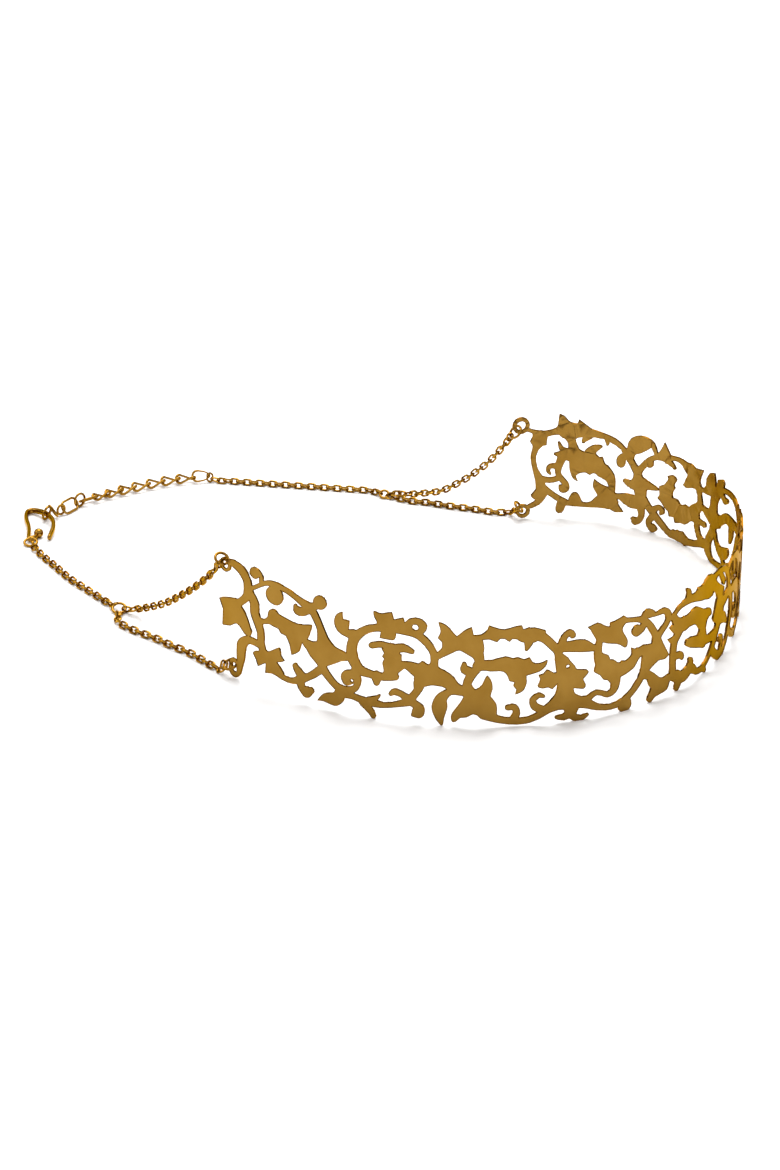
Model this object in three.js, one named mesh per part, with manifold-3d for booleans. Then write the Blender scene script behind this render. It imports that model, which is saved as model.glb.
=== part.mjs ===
// Openwork scroll choker: a stiff pierced band bent to the neck, four fine chains that meet
// in pairs, a hook clasp and a short run of larger links for adjusting the fit.
// Millimetres, +Z up. The throat of the band faces -Y and the clasp +Y, and the necklace
// stands on the band's lower edge with its chains lying on the same surface.
import * as THREE from "three";
import { mergeVertices } from "three/addons/utils/BufferGeometryUtils.js";
import Module from "manifold-3d";

// ---------------------------------------------------------------- driving dimensions
const SHEET = 0.5; // thickness of the band
const FOOT_Z = 0; // height at which the band's lowest tips are dressed flat
const BEND_STEP = 5.5; // spacing of the upright lines at which the band is bent
const FIRST_BEND = 1.4; // how far before the band the first of these lines lies
const CURVE_PARTS = 3; // pieces in which a smooth stretch of outline is drawn
const OUTLINE_SLACK = 0.05; // how far a drawn outline may leave its true curve
const SMALLEST_HOLE = 0.15; // area under which a chink between vines is left filled
const CAP_PARTS = 4; // pieces in the round end of a vine
const DISC_SIDES = 14; // sides of a round ball or eye
const FINE_CHAIN = 1.8; // width over the links of the fine cable chain
const FINE_SIDES = 8; // sides of the tube that stands for a fine chain
const FINE_STEP = 4.2; // length of a step along that tube
const RING_WIRE = 0.3; // wire radius of the small rings
const LINK_WIRE = 0.33; // wire radius of the adjusting links
const LINK_LENGTH = 5.4; // outer length of an adjusting link
const LINK_WIDTH = 3.3; // outer width of an adjusting link
const LEAN = 45; // degrees that the links lean, one to each side in turn
const HOOK_THICK = 0.85; // thickness of the flattened wire of the hook
const HOOK_TALL = 1.4; // width of that wire, which stands on its edge
const CENTRE_X = 11.417; // moves the middle of the whole outline onto the Z axis
const CENTRE_Y = -4.156;

// The band's plan is a chain of tangent arcs from the left end to the right end.
const PLAN_START = { x: -60.75, y: 10.87, heading: -114.6 };
const PLAN_ARCS = [
  { length: 26, turn: 17.5 },
  { length: 22, turn: 19 },
  { length: 22, turn: 19.5 },
  { length: 22, turn: 24.5 },
  { length: 22, turn: 25 },
  { length: 22, turn: 16 },
  { length: 22, turn: 19.5 },
  { length: 22, turn: 24.5 },
  { length: 22, turn: 31 },
  { length: 24, turn: 44 },
];

const BAND_LENGTH = PLAN_ARCS.reduce((sum, arc) => sum + arc.length, 0);

// Vines of the scrollwork, drawn on the unrolled band: each run has stations of
// [distance along the band, height, width of the vine].
const VINES = [
  { name: "left_top_hook", run: [[1, 25.6, 1.4], [2, 25.9, 1.5], [3.2, 25.8, 1.8],
    [5, 25.1, 2.2], [6.5, 23.3, 2.2], [6.7, 21, 2.2], [5.9, 19.2, 1.8], [3.7, 17.3, 1.7]] },
  { name: "left_stem", run: [[6.9, 21.1, 2], [8.4, 19, 2.4], [8.4, 16.8, 2.3],
    [9.3, 14.8, 2.3], [10, 12.6, 1.8], [10, 10.7, 1.8], [10.5, 8.7, 1.9]] },
  { name: "left_stem_branch", run: [[9.1, 15.2, 1.4], [11.2, 15.6, 1.1], [12.8, 16.5, 1.9]] },
  { name: "left_low_vine", run: [[10.2, 9.8, 1.4], [7.3, 10.2, 1.6], [5.6, 9.6, 2.1], [4.6, 8.4, 2.5],
    [4.3, 7, 2.4], [4.2, 5.2, 2.1], [3.8, 3.4, 1.5], [3.4, 1.9, 1.4]] },
  { name: "top_arch", run: [[6.9, 21.4, 1], [9.3, 22.8, 1], [11.4, 24.1, 1.1], [13.6, 24.5, 1.3],
    [16.3, 24.1, 1.2], [19, 23.1, 1.3], [21.2, 22, 1.8], [22.7, 21.7, 1.9], [24.2, 22.5, 1.5]] },
  { name: "top_curl", run: [[10.4, 24.1, 1], [10.4, 25.2, 1.1], [9.5, 25.9, 1.5], [8.1, 25.4, 1.6]] },
  { name: "arch_drop", run: [[13.9, 23.7, 2.2], [13.8, 23, 3]] },
  { name: "arch_curl", run: [[22.1, 21.1, 1.9], [20.8, 20.3, 1.9], [19.4, 20.2, 1.8],
    [19, 21.1, 1]] },
  { name: "arch_stem", run: [[22.7, 21.7, 1.8], [23.9, 19.6, 1.7], [24.9, 17.4, 1.7],
    [25.5, 14.8, 2.9], [25.9, 12.6, 4]] },
  { name: "low_vine", run: [[14.1, 5, 1.4], [16.1, 4.3, 1.2], [18.1, 4.3, 1.3], [19.9, 5.1, 1.9],
    [21.9, 6.2, 1.6], [23.8, 7.6, 1.8], [25.2, 9, 1.8]] },
  { name: "low_curl_up", run: [[20.5, 5.8, 2.2], [19.4, 6.9, 1.8], [18.8, 7.8, 1.4]] },
  { name: "low_curl_down", run: [[20, 4.9, 1.8], [20.2, 3.5, 1.8], [21.3, 2.7, 1.9],
    [22.4, 3.2, 1.7]] },
  { name: "cross_vine", run: [[25.1, 9.2, 2], [26.9, 7, 1.7], [28.7, 5.5, 1.7], [30.8, 4.9, 2.2]] },
  { name: "ring_tail", run: [[32.4, 10, 1.6], [33.1, 8, 1.5], [32.6, 6.1, 1.4],
    [31, 5.2, 1.8]] },
  { name: "link_vine", run: [[29.7, 4.7, 2.6], [32, 4.2, 1.4], [34.1, 3.7, 1.6], [36.4, 3.4, 1.7],
    [38.6, 3.3, 1.2], [41, 3.8, 1.2], [43.1, 4.5, 1.7], [44.6, 4.9, 1.6]] },
  { name: "link_thorn_up", run: [[35.3, 3.9, 1.4], [36.7, 4.4, 1.2], [37.6, 5.2, 0.7]] },
  { name: "link_thorn_down", run: [[34.1, 3.2, 1.6], [35.7, 1.8, 1.5], [36.4, 0.6, 1.2]] },
  { name: "link_curl_up", run: [[43.8, 5.1, 1.8], [42.2, 6.3, 1.4], [40.8, 6.6, 1.4],
    [40.1, 6.1, 1.1]] },
  { name: "link_curl_down", run: [[44.4, 4.7, 1.6], [45.9, 3.6, 1.9], [45.8, 2.3, 1.9],
    [44.7, 2, 1.1]] },
  { name: "hoop", run: [[41, 9.9, 1.6], [38.6, 9.5, 1.6], [36.1, 9.7, 1.6], [33.6, 10.3, 2.2],
    [32.1, 12.4, 2.4], [31.8, 14.9, 2.2], [32.7, 17.3, 2.1], [35.1, 19.4, 1.7], [38.1, 20.2, 1.6],
    [42, 20.2, 1.7], [45.2, 19.6, 1.6], [47.4, 17.9, 1.6], [48.7, 15.6, 1.5], [48.8, 12.5, 1.7]] },
  { name: "hoop_bump", run: [[37.1, 9.5, 2.4], [37.1, 8.1, 1.5]] },
  { name: "crown_curl", run: [[43, 20.6, 1.6], [43.9, 22.1, 1.4], [45.5, 22.4, 1.6],
    [46.4, 21.4, 2.1], [45.9, 20.3, 1.7]] },
  { name: "inner_trunk", run: [[40.2, 10.1, 2.4], [40.3, 12.2, 3.2], [40.4, 14.8, 3.2], [40.1, 16.2, 2]] },
  { name: "inner_left_arm", run: [[40.4, 15.9, 2], [38.3, 16.6, 1.4], [36.1, 16.1, 1.4]] },
  { name: "inner_right_arm", run: [[40, 15.8, 2], [42.6, 16.4, 1.8], [44.3, 15.8, 1.2]] },
  { name: "bridge_stem", run: [[46, 10.1, 2.6], [45.8, 8, 1.8], [44.8, 6.3, 1.6],
    [43.8, 5, 1.8]] },
  { name: "bridge_vine", run: [[49, 10.7, 3.8], [51.2, 10.1, 3.3], [52.9, 8.5, 2.4],
    [55, 7.6, 1.8]] },
  { name: "bay_arch", run: [[49.4, 15.1, 1.2], [51, 16.4, 1.9], [53.5, 18, 2.6], [56.2, 17.3, 3.4],
    [57.6, 15.2, 2.2], [57.3, 13, 1.8], [56, 11.2, 1.9], [55.3, 9.2, 1.9], [56, 7, 3]] },
  { name: "bay_curl", run: [[56.2, 12, 1.8], [54.8, 12.6, 1.9], [54.7, 13.7, 1.1]] },
  { name: "horn", run: [[54.4, 7.6, 1.5], [52, 7.6, 1.4], [50.3, 6.1, 2.4], [49.9, 4.1, 3.2],
    [49.9, 2.1, 2.1], [50.3, 0.6, 0.9]] },
  { name: "gallery_top", run: [[55.4, 19.2, 1.6], [58, 19.6, 1.1], [60, 20.3, 2.2],
    [63, 20.3, 1.9], [66, 20, 2.1], [68.4, 20, 2.4], [70.4, 19, 2], [72, 17.4, 1.9],
    [73.3, 15.6, 1.7], [73.7, 13.4, 2], [74.6, 11, 3]] },
  { name: "gallery_tooth", run: [[67.4, 20, 3], [67.3, 18, 1.7], [66.9, 16.8, 0.8]] },
  { name: "gallery_leaf_stem", run: [[57.2, 13.4, 1.9], [59.5, 13.4, 2], [62, 13.7, 2.6]] },
  { name: "low_sweep", run: [[58.6, 3, 2.6], [61.5, 1.7, 1.6], [64.5, 1.2, 1.5], [67, 1.2, 1.4],
    [69.4, 2, 1.5], [71.4, 3.4, 2], [73.4, 4.4, 3]] },
  { name: "sweep_curl", run: [[64.6, 1.6, 1.6], [65.2, 3, 1.5], [64.7, 4.3, 1.4],
    [63.4, 4.2, 1.2]] },
  { name: "sweep_curl_far", run: [[70.6, 3.2, 1.6], [68.9, 4.1, 1.7], [68.4, 5.6, 1.4],
    [69.6, 6.6, 1.1], [70.5, 6.3, 0.8]] },
  { name: "mask_curl", run: [[74, 17, 1.6], [74.5, 18.8, 1.4], [75.7, 19.7, 1.3],
    [76.2, 19, 1.5]] },
  { name: "mask_vine", run: [[73.2, 16.5, 1.7], [76.2, 16.6, 2.5], [78.6, 16.3, 2.7],
    [80.8, 15.5, 1.5], [82, 15.6, 1.4]] },
  { name: "low_left_foot", run: [[76.4, 3, 2.6], [75.8, 1.7, 1.8], [74.6, 1.2, 1.4],
    [73.3, 1.3, 0.8]] },
  { name: "low_right_foot", run: [[76, 2, 1.8], [77.2, 0.8, 1.6], [78.6, 0.5, 1.2],
    [79.8, 1, 0.8]] },
  { name: "throat_vine", run: [[76, 4.6, 3], [79.2, 3.7, 2.3], [82, 2.3, 1.5], [85, 1.7, 1.3],
    [88, 2.3, 1.5], [90.2, 3.9, 1.5], [92, 5.9, 1.6], [93, 8.2, 1.8], [93.4, 10.6, 2.2]] },
  { name: "throat_ball_stem", run: [[88.8, 2.5, 1.4], [89.2, 1.4, 1.7], [88.3, 0.8, 1.4]] },
  { name: "throat_stem", run: [[82, 16.8, 1.4], [81.8, 14.4, 1.7], [82.3, 12.4, 2.4],
    [83.6, 10.8, 3.6], [85.6, 9.7, 3.4], [88, 9.5, 2.8], [90, 10.8, 2.3], [91.2, 12.2, 2.2]] },
  { name: "throat_hook", run: [[85.3, 9, 3.6], [86, 6.9, 2.2], [85.5, 5.2, 1.7],
    [84.2, 4.6, 1.3], [82.9, 5.2, 1.2], [81.5, 5.5, 1.2], [80, 4.6, 1.2]] },
  { name: "second_top", run: [[87.5, 20.1, 1.2], [90, 19.7, 1], [92, 19.2, 1.5],
    [93.5, 18.1, 1.5], [94.9, 16.3, 1.6], [95.8, 14.4, 1.7], [96, 12.6, 2.6]] },
  { name: "second_bud", run: [[92.2, 19.6, 1.2], [93.3, 20.4, 1.7], [94.6, 20, 1.4]] },
  { name: "second_arch", run: [[93.6, 19.6, 1], [96, 19.4, 0.9], [98, 19.5, 1.4],
    [99.3, 18.2, 1.6], [98.9, 16.6, 1.5], [97.4, 15.2, 1.5], [96.2, 14, 1.8]] },
  { name: "second_curl", run: [[92.8, 18.6, 1.4], [92, 17.2, 1.7], [90.8, 17, 1.8]] },
  { name: "second_low", run: [[93, 7, 2.2], [95, 5.8, 1.9], [96.4, 3.9, 2.9], [98.2, 2.9, 3.2],
    [100.4, 3.9, 1.6], [103, 3.6, 2.2]] },
  { name: "second_low_foot", run: [[96.2, 2.6, 2.2], [94.9, 0.9, 1.7]] },
  { name: "upright", run: [[101.4, 3.6, 1.8], [101.2, 6, 1.9], [101.1, 9, 1.9],
    [101.6, 11.6, 1.9], [103, 13.6, 2.4]] },
  { name: "upright_curl", run: [[101.4, 8.1, 1.6], [103.4, 8, 1.6], [104.1, 7.2, 1.4]] },
  { name: "upright_top", run: [[99.2, 17.4, 1.2], [101, 17, 1.5], [102.4, 15.4, 2.2],
    [104.6, 14.6, 2.6]] },
  { name: "third_arch", run: [[100.6, 17.4, 1], [102.6, 18.7, 1.1], [105, 19.3, 1.6],
    [107.6, 19.2, 1.9], [110.4, 18.9, 3], [113, 19.2, 4.4], [115.4, 19.4, 3.4],
    [117.4, 18, 2.2], [119.4, 16.4, 2.4]] },
  { name: "third_heart", run: [[103, 13.8, 2.4], [106, 14.8, 2.8], [109, 14.6, 3.6],
    [111.4, 12.8, 3.4], [111.8, 10.2, 2.6], [112.4, 7.6, 3]] },
  { name: "third_tongue", run: [[112.6, 7.6, 2.8], [109.6, 8.6, 2.6], [107.2, 9.4, 2.4],
    [106, 9.8, 1.8]] },
  { name: "third_low", run: [[102.4, 3, 2], [105, 2.7, 2.9], [107.6, 3.4, 2.4],
    [109.6, 1.9, 1.5], [112, 1.6, 1.5], [114.4, 2.4, 1.4], [116.6, 4, 1.8], [118.4, 6, 2.4]] },
  { name: "third_low_bud", run: [[106.6, 3.6, 2.4], [107.4, 5, 1.8], [106.9, 5.7, 1]] },
  { name: "third_low_foot", run: [[103.5, 2.4, 2.4], [102.8, 0.9, 1.8]] },
  { name: "third_far_foot", run: [[112, 1.6, 1.5], [113.6, 0.7, 1.2]] },
  { name: "third_far_leaf", run: [[111.6, 13.4, 2.6], [113.6, 13.6, 2], [115.2, 12.8, 1]] },
  { name: "third_link", run: [[112, 7.8, 2.2], [115, 7.2, 1.9], [118, 7, 2.6]] },
  { name: "fourth_trunk", run: [[119.2, 16.6, 2.4], [120.4, 13.8, 2.6], [120.6, 10.8, 3.4],
    [119.4, 8, 2.8], [117.4, 5, 1.8]] },
  { name: "fourth_low", run: [[116.8, 4, 1.8], [119, 1.9, 2], [121.4, 0.9, 2], [124, 1.3, 1.9],
    [126.2, 3, 1.7], [127.6, 5.4, 1.9]] },
  { name: "fourth_low_curl", run: [[121.8, 1.6, 1.8], [122.6, 3.6, 1.6], [121.8, 4.9, 1.3],
    [120.8, 4.4, 1]] },
  { name: "fourth_top", run: [[115.6, 20, 2.2], [118.4, 20.6, 1.4], [121, 20.4, 1.3],
    [123.6, 19.4, 1.5], [125.4, 17.4, 1.7], [126.2, 15, 2]] },
  { name: "fourth_top_curl", run: [[119.6, 20.4, 1.3], [121.2, 18.6, 1.4], [122.4, 17.2, 1.7]] },
  { name: "fourth_cross", run: [[121, 12.4, 3], [123.6, 12.8, 2.6], [126.4, 13.6, 2.6],
    [128.4, 11.4, 2], [128.6, 8.4, 2], [127.8, 5.6, 2.2]] },
  { name: "fourth_leaf_low", run: [[121, 9.6, 3], [123.4, 8.6, 2.4], [125.2, 7, 1.1]] },
  { name: "fifth_arch", run: [[125, 18.2, 1.6], [127.4, 19.6, 1.3], [130.2, 19.9, 1.5],
    [132.8, 18.9, 1.8], [134.4, 16.6, 1.8], [134.6, 13.8, 2.2]] },
  { name: "fifth_drop", run: [[129.8, 19.6, 1.8], [130.2, 17.6, 2.2], [130.3, 16.6, 2.2]] },
  { name: "fifth_heart", run: [[128, 12.6, 2.2], [130.6, 12.8, 2.4], [133, 12, 3.2],
    [134.8, 10, 3.2], [134.6, 7.4, 2.4], [133, 5.4, 1.8]] },
  { name: "fifth_curl", run: [[133.6, 5.8, 1.7], [131.6, 5.6, 1.5], [130.8, 7, 1.4],
    [131.8, 8, 1.1]] },
  { name: "fifth_low", run: [[127.6, 4, 2.2], [129.6, 2.2, 1.6], [132.2, 1.3, 1.5],
    [135, 1.7, 1.6], [137.4, 3.4, 1.8], [138.6, 6, 2]] },
  { name: "fifth_low_foot", run: [[132, 1.6, 1.8], [133.4, 0.7, 1.2]] },
  { name: "sixth_trunk", run: [[134.8, 14.6, 2.2], [137, 16.4, 2.2], [139.2, 15.6, 2.4],
    [140.2, 12.8, 2.8], [139.8, 9.6, 3.2], [138.6, 6.4, 2.4]] },
  { name: "sixth_top", run: [[136.4, 16.6, 1.8], [137.8, 19, 1.6], [140.2, 20.4, 1.6],
    [142.8, 19.8, 1.6], [144.6, 17.8, 1.7], [144.8, 15.2, 2]] },
  { name: "sixth_top_curl", run: [[140.4, 19.8, 1.6], [141.4, 18, 1.5], [140.8, 17.3, 1.2]] },
  { name: "sixth_low", run: [[138.2, 4.6, 1.8], [140.4, 2.2, 1.6], [143, 1.2, 1.5],
    [145.8, 1.7, 1.6], [148, 3.6, 1.7], [149, 6.4, 1.9]] },
  { name: "sixth_low_curl", run: [[143, 1.7, 1.6], [144.2, 3.6, 1.6], [143.4, 5.2, 1.4],
    [142.3, 4.7, 1]] },
  { name: "sixth_cross", run: [[140, 11.4, 2.6], [142.8, 12.4, 2.4], [145.2, 13.8, 2.4],
    [147.6, 12.6, 2.6], [148.9, 9.8, 2.6], [149, 6.8, 2.2]] },
  { name: "sixth_leaf", run: [[140.6, 9.8, 2.8], [143.2, 9, 2.4], [145.2, 7.6, 1]] },
  { name: "seventh_top", run: [[144.8, 16.4, 1.6], [147, 18.6, 1.5], [149.8, 19.8, 1.5],
    [152.6, 19.5, 1.6], [154.6, 17.6, 1.8], [155, 15, 2]] },
  { name: "seventh_drop", run: [[149.8, 19.4, 1.6], [150, 17.4, 2], [150.1, 16.4, 2]] },
  { name: "seventh_heart", run: [[148.6, 11, 2.4], [151.2, 12.4, 2.4], [153.8, 13, 2.8],
    [156, 11.6, 3], [156.6, 9, 2.6], [155.2, 6.4, 2.2], [153, 5, 1.6]] },
  { name: "seventh_curl", run: [[153.6, 5.2, 1.6], [151.7, 5.8, 1.4], [151.6, 7.4, 1.4],
    [152.8, 7.8, 1]] },
  { name: "seventh_low", run: [[148.4, 4.4, 1.7], [150.4, 2.3, 1.6], [153, 1.3, 1.5],
    [156, 1.6, 1.7], [158.6, 3, 2], [160.2, 5, 1.8]] },
  { name: "seventh_low_foot", run: [[156.4, 1.6, 1.7], [157.6, 0.7, 1.2]] },
  { name: "eighth_vine", run: [[155.4, 14.4, 2.2], [158, 14.6, 2], [160.6, 14, 2.6],
    [163.2, 13.8, 2.6], [166, 13.4, 2.4], [168.6, 11.8, 2.4], [171.4, 10.6, 3.6]] },
  { name: "eighth_drop", run: [[161.4, 13.4, 3], [161.8, 11.4, 3], [162.4, 9.4, 1.4]] },
  { name: "eighth_back", run: [[157, 9.6, 2.2], [158.8, 7, 2], [160, 4.6, 1.9],
    [163, 3, 1.9], [165.4, 1.8, 1.7]] },
  { name: "eighth_top", run: [[155, 16.8, 1.7], [157, 18.9, 1.9], [159.4, 19.9, 1.8],
    [162, 20.1, 1.4], [165, 19.9, 1.3], [168, 19.2, 1.4], [170.4, 18, 2.6], [172.2, 15.4, 3],
    [172.3, 13, 3.2]] },
  { name: "eighth_curl", run: [[168.8, 18.4, 1.9], [167, 17.2, 1.8], [165.1, 17.8, 1.1]] },
  { name: "ninth_low", run: [[164, 2.4, 1.6], [167, 1.2, 1.5], [170, 0.7, 1.3], [172.4, 0.8, 1.5],
    [174.3, 2.4, 2.8], [174.2, 5, 2.4], [172.4, 8, 2.6], [172.2, 11, 3]] },
  { name: "ninth_low_leaf", run: [[171.3, 7.6, 1.7], [170.4, 5.8, 1.6], [168.4, 4.5, 2.6],
    [166, 4.9, 3], [163.8, 6.2, 2]] },
  { name: "ninth_low_tie", run: [[167.6, 4, 1.8], [166, 2.6, 1.6], [165, 1.9, 1.4]] },
  { name: "tenth_top", run: [[171, 17.2, 2.4], [173.6, 16.8, 2], [176, 15.8, 1.1],
    [178.8, 15.7, 1.2], [180.4, 16, 2]] },
  { name: "tenth_stem", run: [[179.4, 16, 2.4], [178.7, 14, 1.6], [178.4, 12, 2.2],
    [180, 9.8, 2.6]] },
  { name: "tenth_bar", run: [[172.6, 11.4, 3.2], [175.4, 11.3, 1.6], [178.4, 11.6, 1.6]] },
  { name: "tenth_tongue", run: [[179.4, 7.9, 1.6], [177.6, 7.7, 1.4], [176.2, 7.8, 1.5]] },
  { name: "tenth_back", run: [[179.4, 9, 2], [179.3, 6.4, 1.9], [178.4, 4.4, 1.8],
    [176.8, 3.4, 2]] },
  { name: "tenth_low", run: [[175, 3.6, 2.6], [177.6, 2.8, 1.9], [180, 1.8, 1.6], [183, 1.2, 1.9],
    [185.6, 1.6, 2.6], [188.6, 1.4, 1.7], [190.9, 2.8, 1.7], [193.1, 4.4, 1.9], [195, 6.1, 1.8],
    [196.6, 7.7, 2.2]] },
  { name: "tenth_low_foot", run: [[183.2, 1.8, 1.4], [183.4, 0.4, 0.9]] },
  { name: "wing_curl", run: [[193.7, 5.5, 1.8], [192.2, 6.7, 1.3], [191, 6.2, 1.6],
    [191.3, 5.5, 1.1]] },
  { name: "wing_ball_stem", run: [[193.7, 4, 1.8], [194.7, 2.6, 1.5], [194.2, 1.2, 1.6],
    [192.9, 1.2, 1.3]] },
  { name: "eleventh_top", run: [[183.6, 19.2, 2], [186.6, 20, 1.1], [189.1, 19.6, 1.3],
    [191.1, 19.2, 2], [193.1, 18.7, 1.3], [195.1, 17.5, 1.5], [196.8, 15.6, 1.5], [198, 13.7, 1.9],
    [197.8, 11.5, 3.4]] },
  { name: "eleventh_drop", run: [[190.3, 18.8, 1.8], [188.7, 18.3, 1.3], [187.7, 17.6, 0.9]] },
  { name: "eleventh_bud", run: [[196.1, 16.5, 1.6], [194.8, 16.5, 1.6], [194.4, 17.1, 0.9]] },
  { name: "hood", run: [[193.3, 19.2, 1], [194.3, 21.2, 1.6], [196.4, 21.2, 3.5], [198.7, 20.2, 4.2],
    [200, 18.3, 2.4], [200.3, 16.5, 1.8]] },
  { name: "cross_down", run: [[202.2, 18.9, 1.2], [200.8, 17.3, 1.8], [199.5, 15.5, 1.7],
    [198.3, 13.7, 1.9]] },
  { name: "bird_body", run: [[192.5, 11, 0.7], [195.3, 11.2, 2.2], [197.6, 11.1, 4],
    [199.8, 10.5, 2.1], [201.3, 11, 1.2]] },
  { name: "bird_tail", run: [[197.4, 10.5, 3.6], [197.1, 7.9, 2.8], [197.1, 5.5, 2.2],
    [196.8, 3.5, 1.6], [197.8, 1.7, 1.5], [199, 2.1, 1.2]] },
  { name: "bird_leaf", run: [[197.2, 6.5, 3], [199.2, 6.3, 3.4], [201.3, 6.7, 2.7],
    [203.2, 6.9, 1.2], [205.1, 6.6, 2]] },
  { name: "right_top", run: [[201, 17.7, 1.2], [202.4, 19.1, 1.3], [204.3, 20.2, 1.5],
    [206.7, 21, 1.4], [209.7, 21.4, 2], [212.6, 21.7, 3.2], [215.6, 22, 3.4], [218, 21.4, 1.6],
    [220.6, 20.9, 1.4], [223.3, 21.6, 0.9], [224.5, 22.1, 0.9]] },
  { name: "right_top_tooth", run: [[206, 20.2, 1.3], [205.9, 19.2, 0.8]] },
  { name: "right_drop", run: [[201.5, 17.2, 1.6], [202.4, 16.2, 2.2], [202.5, 15.1, 2.2]] },
  { name: "right_tooth", run: [[210.3, 20.9, 2.2], [211.4, 19.7, 1.2], [211.6, 19.2, 0.9]] },
  { name: "right_trunk", run: [[215.1, 21, 3.2], [214.2, 18.8, 1.9], [213.8, 16.4, 3.2]] },
  { name: "right_frame", run: [[221.4, 21, 1.6], [221.8, 19.2, 3], [222.6, 17.2, 1.5],
    [223.1, 15.1, 1.3], [222.6, 12.3, 1.3], [221.6, 9.8, 2], [221.1, 7.6, 2.4], [221.1, 5.6, 2.4],
    [222, 3.9, 1.5], [223.7, 3.1, 1.2]] },
  { name: "right_frame_foot", run: [[221.2, 8, 2], [219.6, 6.8, 1.4], [217.6, 5.2, 1.4],
    [215.5, 4, 1.6]] },
  { name: "right_bar", run: [[217, 9.9, 1.3], [219.2, 9.4, 1.4], [221.6, 9.9, 1.4]] },
  { name: "right_spiral", run: [[216.4, 15.1, 2.2], [217.2, 12.7, 1.7], [217.1, 10.7, 1.4],
    [215.5, 8.6, 1.5], [215.3, 7.3, 1.5], [216.3, 7, 1.3], [216.7, 7.9, 0.9]] },
  { name: "right_snail", run: [[217.2, 12.9, 1.4], [219.1, 12.9, 1.2], [219.6, 11.8, 1],
    [219.1, 11.1, 0.7]] },
  { name: "right_spray_up", run: [[215, 16.2, 2.2], [216.5, 17.1, 1.3], [217.2, 18.6, 0.8]] },
  { name: "right_spray_out", run: [[215.6, 15.8, 2.2], [218, 15.9, 0.8]] },
  { name: "right_low", run: [[204.7, 5.2, 3.8], [207.1, 4.9, 3.4], [209.7, 3.7, 1.3], [212.6, 3.7, 1.4],
    [216, 3.9, 1.4]] },
  { name: "right_low_drop", run: [[216.3, 3.7, 2.2], [216.7, 2.2, 2.1]] },
  { name: "right_stem", run: [[205.1, 6.8, 2.6], [204.5, 9.2, 1.6], [204.9, 11.4, 2],
    [206.5, 13, 2.6]] },
];

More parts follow.
